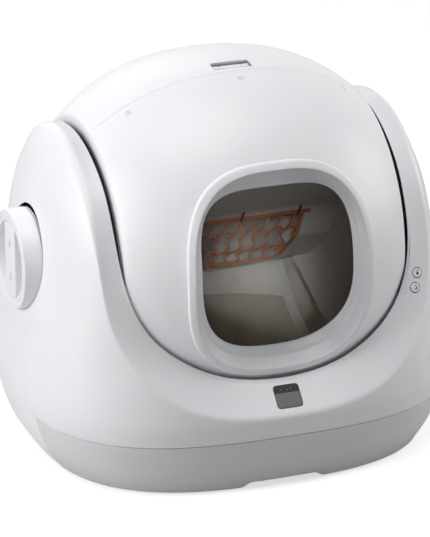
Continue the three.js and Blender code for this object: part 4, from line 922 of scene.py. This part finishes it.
def sieve_outline(offset):
    """Outline of the sieve: tabs at the top, round at the bottom"""
    half, tab, low = SIEVE_HALF + offset, SIEVE_TAB + offset, SIEVE_TOP + offset
    top = run_for_depth(TAB_DEPTH) - offset
    points = [(-half, low), (-tab, low), (-tab, top), (tab, top), (tab, low), (half, low)]
    return points + round_foot(half, FOOT_RADIUS + offset)


def drawn_in(points, distance):
    """A closed outline drawn in by a distance on every side"""
    points = np.asarray(points, float)
    ahead = np.roll(points, -1, axis=0) - points
    inward = np.column_stack([-ahead[:, 1], ahead[:, 0]])
    inward /= np.linalg.norm(inward, axis=1)[:, None]
    before = np.roll(inward, 1, axis=0)
    return points + (before + inward) * (distance / (1 + (before * inward).sum(axis=1)))[:, None]


def clipped(points, start, end):
    """Part of a closed outline on the left of the line from start to end"""
    (x0, s0), (x1, s1) = start, end
    sides = [(x1 - x0) * (s - s0) - (s1 - s0) * (x - x0) for x, s in points]
    out = []
    for i, p in enumerate(points):
        j = (i + 1) % len(points)
        if sides[i] >= 0:
            out.append(tuple(p))
        if sides[i] * sides[j] < 0:
            f = sides[i] / (sides[i] - sides[j])
            out.append(tuple(a + (b - a) * f for a, b in zip(p, points[j])))
    return out


def sieve_holes():
    """Holes of the sieve, as far as they lie in the field inside its rim"""
    field = [(-FIELD_HALF, SIEVE_TOP), (FIELD_HALF, SIEVE_TOP)] + round_foot(FIELD_HALF, FIELD_RADIUS)
    holes = []
    for row in range(4):
        for column in range(-10, 10):
            x0 = FIRST_CELL[0] + column * CELL_PITCH_X + (row - 1) * CELL_SHIFT
            s0 = FIRST_CELL[1] + row * CELL_PITCH_RUN
            hole = drawn_in([(x0 + x, s0 + s) for x, s in CELL], CELL_RIB / 2)
            for start, end in zip(field, field[1:] + field[:1]):
                hole = clipped(hole, start, end)
            area = sum(p[0] * q[1] - q[0] * p[1] for p, q in zip(hole, hole[1:] + hole[:1])) / 2
            if abs(area) > CELL_MIN_AREA:
                holes.append(hole)
    return holes


def panel_half(s):
    """Half width at which the panel meets the drum's lining at a distance down its run, 0 outside the drum"""
    y, z = on_run(s, 0)
    share = (math.hypot(y, z - PIVOT) + PANEL_ROOM) / DRUM_RADIUS
    return min(PANEL_HALF_MAX, DRUM_BULGE * (1 - share ** DRUM_POWER) ** (1 / DRUM_POWER)) if share < 1 else 0


def partition_and_sieve():
    edge = [(panel_half(s), s) for s in np.linspace(PANEL_LOW, PANEL_HIGH, 160)]
    edge = [(x, s) for x, s in edge if x > PANEL_HALF_MIN]
    outline = edge + [(-x, s) for x, s in edge[::-1]]
    bent_plate("partition_panel", [outline, sieve_outline(GAP / 2)], 0.4, liner,
               ["litter_partition"])
    bent_plate("sieve_lattice", [sieve_outline(-GAP / 2), *sieve_holes()], 0.5, orange_pp,
               ["litter_sieve"])
    # Clips: thin bent strips of nylon over the sieve's upper edge, as (run, lift)
    clip = ((-7, -1.7), (-7, -2.6), (-6, -3.2), (15, -3.2), (16, -2.6), (16, -1.7))
    section = [on_run(s, lift) for s, lift in clip]
    for number, x in enumerate(HOOK_PLACES, 1):
        rings = [np.array([(x + across, y, z) for y, z in section]) for across in (-1.3, -1.1, 1.1, 1.3)]
        solid(f"sieve_clip_{number}", capped_rings(rings), dark_frame, "drum", "dark_plastic",
              [f"sieve_hook_{number}"])


def litter_mat():
    """A strip of the drum's inside below a level line"""
    rows = []
    for x in np.linspace(-MAT_HALF, MAT_HALF, 60):
        r = float(drum_profile(x)) - MAT_LIFT
        widest = math.acos((PIVOT - MAT_LEVEL) / r)
        rows.append([(x, r * math.sin(a), PIVOT - r * math.cos(a)) for a in np.linspace(-widest, widest, 70)])
    mat = new_object("litter_floor_mat", *net(np.array(rows)))
    mat.data.materials.append(mat_rubber)
    face_outwards(mat, (0, 0, -3000))
    wall_of(mat, MAT_THICKNESS)
    finish_piece(mat, "drum", ["litter_mat"])


def plugs():
    """Caps over the cover's screws, each with a thin groove round its middle"""
    profile = [(3.9, -2.4), (4.2, -2.1), (4.25, -0.2), (4.0, 0.15), (3.3, 0.2), (3.0, -0.25), (2.7, -0.25),
               (2.4, 0.1), (1.2, 0.2), (0.2, 0.2)]
    for name, x in PLUG_PLACES.items():
        turned_solid(f"screw_plug_{name}", crown_seat(x, PLUG_ANGLE), profile, plug_abs, "drum", "light_grey_plastic",
                     [f"plug_{name}"], 40)


def latch():
    """Bar in the latch's well, and two dark pins beside it"""
    seat = crown_seat(0, LATCH_ANGLE)
    heights = ((-6.7, 0.4), (-6.4, 0), (-4.4, 0), (-3.9, 0.3), (-3.7, 0.9), (-3.7, 2.5))
    bar = stacked(moved(seat, 0, LATCH_BAR_SHIFT), rounded_box(*LATCH_BAR), heights)
    solid("lid_latch_bar", bar, satin_abs, "latch", "light_grey_plastic", ["lid_latch"])
    pin = [(0.9, -6.3), (1.1, -6.1), (1.1, -3.5), (0.9, -3.2), (0.2, -3.1)]
    for name, along in (("left", -PIN_ALONG), ("right", PIN_ALONG)):
        turned_solid(f"latch_pin_{name}", moved(seat, along, PIN_SHIFT), pin, dark_frame, "latch",
                     "light_grey_plastic", ["lid_latch"], 20)


# The knob: where its face stands, its section as (depth behind the face, radius) from the neck over the rim and its
# groove into the pocket, and the half width of the grip between the pockets
KNOB_FACE = -308
KNOB_SECTION = [
    (43.5, 40), (43.5, 49.5), (43, 50), (28.5, 50), (28.5, 69), (28, 70), (2.4, 70), (0.9, 69.5), (0.2, 68.6),
    (0, 67.2), (0.1, 62.6), (0.5, 61.6), (1.8, 61.2), (1.8, 60.4), (0.9, 59.8), (0.8, 58.8), (0.8, 55.6),
    (1.1, 54.6), (2, 54), (17, 53.4), (18, 52.4), (18, 20), (18, 0.5)]
POCKET_RADIUS, GRIP_HALF = 53.8, 22


def knob():
    """Turned knob with a raised rim, a thin groove, two pockets, the grip between them and its marks"""
    fits = ("knob", "white_shell", ["filter_knob"])
    turned = turned_x([(KNOB_FACE + depth, r) for depth, r in KNOB_SECTION], 160)
    solid("filter_knob_body", capped_rings(turned), satin_abs, *fits)
    start = math.acos(GRIP_HALF / POCKET_RADIUS)
    upper = np.array([(POCKET_RADIUS * math.cos(a), POCKET_RADIUS * math.sin(a))
                      for a in np.linspace(start, math.pi - start, 25)])
    seat = tuple(np.array(way, float) for way in ((0, 0, PIVOT), (0, -1, 0), (0, 0, 1), (-1, 0, 0)))
    heights = ((289.5, 0), (305.2, 0), (306.4, 0.4), (307.1, 1.4), (307.3, 3))
    solid("filter_knob_grip", stacked(seat, np.vstack([upper, -upper]), heights), satin_abs, *fits)
    for place, up in (("upper", 24), ("lower", -24)):
        for number, outline in enumerate((crescent(5.2, 1.8, -160, 100), round_outline(0, 0, 1.9)), 1):
            mark = stacked(moved(seat, 0, up), outline, ((307.0, 0), (307.7, 0)))
            solid(f"knob_mark_{place}_{number}", mark, light_grey, *fits)


def display():
    """Dark window, the grey film behind its lower part with three small dots above it, and the circuit board"""
    seat = display_seat()
    window = ((-3, 1), (-3, 0), (-0.9, 0), (-0.4, 0.3), (-0.25, 0.9), (-0.25, 6))
    solid("display_window", stacked(seat, rounded_box(*DISPLAY_SIZE, DISPLAY_CORNER), window), smoked_lens,
          "housing", "screen", ["display_lens"])
    # The film's lower corners are round, the points near its upper edge move out to square corners
    film = [(x, y - 5.3) for x, y in rounded_box(34.6, 21.4, 2.6)]
    film = [(math.copysign(17.3, x), 5.4) if y > 4.6 else (x, y) for x, y in film]
    film = np.array(list(dict.fromkeys(film)))
    solid("display_film", stacked(seat, film, ((-0.6, 0), (-0.2, 0), (-0.16, 0.1), (-0.16, 2))), screen_face,
          "housing", "screen", ["display_lens"])
    dot = [(1.1, -0.6), (1.1, -0.2), (0.9, -0.15), (0.2, -0.15)]
    for number, (along, up) in enumerate(((-8, 10.5), (1.5, 9.5), (6.5, 11.5)), 1):
        turned_solid(f"display_dot_{number}", moved(seat, along, up), dot, screen_face, "housing", "screen",
                     ["display_lens"], 20)
    board = ((-12.0, 1.2), (-12.0, 0.4), (-11.8, 0), (-10.6, 0), (-10.4, 0.4), (-10.4, 1.2))
    solid("display_circuit_board", stacked(seat, rounded_box(42, 36, 1.5), board), board_mask, "housing", "screen",
          ["display_board"])


def buttons():
    """Round caps, each with a plain printed sign of two shapes on its face"""
    profile = [(5.6, -6.6), (6.3, -6.2), (6.5, -0.4), (6.4, 0.3), (6.0, 0.7), (5.3, 0.75), (3, 0.72), (0.3, 0.7)]
    signs = {"power": (round_outline(-0.5, -0.6, 1.9), round_outline(1.9, 1.9, 1.0)),
             "mode": (crescent(2.4, 1.7, -170, 20), round_outline(2.2, 1.9, 0.8))}
    for name, step in BUTTON_PLACES.items():
        seat, body, replaced = band_seat(step), f"{name}_button", [f"button_{name}"]
        turned_solid(f"button_{name}_cap", seat, profile, satin_abs, body, "white_shell", replaced)
        for number, outline in enumerate(signs[name], 1):
            middle = outline.mean(axis=0)
            rings = [ring_at(middle + (outline - middle) * size, h) for size, h in ((1, 0.42), (1, 0.76), (0.96, 0.78))]
            solid(f"button_{name}_sign_{number}", capped_rings([laid(seat, ring) for ring in rings]), print_ink, body,
                  "white_shell", replaced)


def feet():
    profile = [(8, 0), (13.6, 0), (14.6, 0.5), (15, 1.4), (15, 5.2), (14.6, 5.7), (6, 5.7)]
    for end, y in (("front", -FEET_HALF[1]), ("rear", FEET_HALF[1])):
        for side, x in (("left", -FEET_HALF[0]), ("right", FEET_HALF[0])):
            turned_solid(f"rubber_foot_{end}_{side}", (np.array((x, y, 0.0)), *np.eye(3)), profile, foot_tpe,
                         "housing", "foot_rubber", [f"foot_{end}_{side}"])


# Lamps: place and aim in metres, width, power in watts and spread in degrees. Four wide ones light the object
# at a plain level, a narrow weak one in front of the mouth lights the inside of the drum.
AIM = (0, 0, 0.3)
LAMPS = {"left": ((-3.0, -0.2, 1.2), AIM, 2.0, 62, 180),
         "top": ((-0.2, -0.5, 3.0), AIM, 2.2, 45, 180),
         "right": ((3.0, -0.6, 1.4), AIM, 2.0, 41, 180),
         "mouth": ((-0.86, -2.42, 1.2), (0.035, -0.1, 0.266), 0.16, 0.027, 3.6),
         "back": ((0.0, 2.6, 2.2), AIM, 2.0, 13, 180)}
SOFT_LIGHT = 0.06
FLOOR_HALF = 6000
FLOOR_LIFT = 0.66


def studio():
    """World, lamps and the paper floor"""
    scene = bpy.context.scene
    scene.view_settings.view_transform = "Standard"
    # The world gives a weak, even light; the camera, gloss and clear pieces see it as white
    world = bpy.data.worlds.new("studio")
    scene.world = world
    world.use_nodes = True
    tree = world.node_tree
    tree.nodes.clear()
    path = add(tree, "ShaderNodeLightPath")
    direct = add(tree, "ShaderNodeMath", {"operation": "MAXIMUM"},
                 links={0: path.outputs["Is Camera Ray"], 1: path.outputs["Is Transmission Ray"]})
    seen = add(tree, "ShaderNodeMath", {"operation": "MAXIMUM"},
               links={0: direct.outputs[0], 1: path.outputs["Is Glossy Ray"]})
    soft = add(tree, "ShaderNodeBackground", values={"Color": (0.95, 0.97, 1, 1), "Strength": SOFT_LIGHT})
    white = add(tree, "ShaderNodeBackground", values={"Color": (1, 1, 1, 1), "Strength": 1.0})
    mixed = add(tree, "ShaderNodeMixShader", links={0: seen.outputs[0], 1: soft.outputs[0], 2: white.outputs[0]})
    add(tree, "ShaderNodeOutputWorld", links={"Surface": mixed.outputs[0]})

    for name, (place, aim, width, power, spread) in LAMPS.items():
        data = bpy.data.lights.new(name, "AREA")
        data.shape = "DISK"
        data.size = width
        data.energy = power
        data.spread = math.radians(spread)
        lamp = placed(name, data)
        lamp.location = place
        lamp.rotation_mode = "QUATERNION"
        lamp.rotation_quaternion = (Vector(aim) - Vector(place)).to_track_quat("-Z", "Y")

    corners = [(sx * FLOOR_HALF, sy * FLOOR_HALF, 0) for sx, sy in ((-1, -1), (1, -1), (1, 1), (-1, 1))]
    floor = new_object("floor", corners, [(0, 1, 2, 3)])
    # Matt paper without gloss. Its fibres are about 0.05 mm and are drawn as soft clouds of 4 mm.
    material, tree, shader, place = started("matt_white_paper")
    fibre = add(tree, "ShaderNodeTexNoise", values={"Scale": 1 / (4 * MM)}, links={"Vector": place})
    tone = add(tree, "ShaderNodeMix", {"data_type": "RGBA"}, {6: colour("#CECECE"), 7: colour("#CCCCCC")},
               {0: fibre.outputs["Fac"]})
    tree.links.new(tone.outputs[2], shader.inputs["Base Color"])
    shader.inputs["Roughness"].default_value = 0.9
    # The camera sees the paper lifted towards white, with the object's shadow on it
    camera_ray = add(tree, "ShaderNodeLightPath").outputs["Is Camera Ray"]
    lift = add(tree, "ShaderNodeMath", {"operation": "MULTIPLY"}, {1: FLOOR_LIFT}, {0: camera_ray})
    tree.links.new(lift.outputs[0], shader.inputs["Emission Strength"])
    shader.inputs["Emission Color"].default_value = (1, 1, 1, 1)
    floor.data.materials.append(material)


make_camera()
drawer_front()
base()
rear_panel()
body_shell()
drum_front()
drum_rear()
entry_ring()
end_discs()
inner_coves()
gap_seals()
partition_and_sieve()
litter_mat()
plugs()
latch()
knob()
display()
buttons()
feet()

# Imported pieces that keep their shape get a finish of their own
for material, nodes in ((dark_frame, ("left_side_frame", "right_side_frame", "fan_frame", "power_socket")),
                        (grey_pp, ("waste_tub", "fan_rotor", "filter_cartridge")),
                        (acetal, ("ring_gear", "drive_pinion")), (zinc_steel, ("drive_motor",)),
                        (light_grey, ("filter_duct",)), (board_mask, ("button_board", "control_board"))):
    for node in nodes:
        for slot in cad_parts[node].material_slots:
            slot.material = material

studio()

bpy.context.view_layer.update()
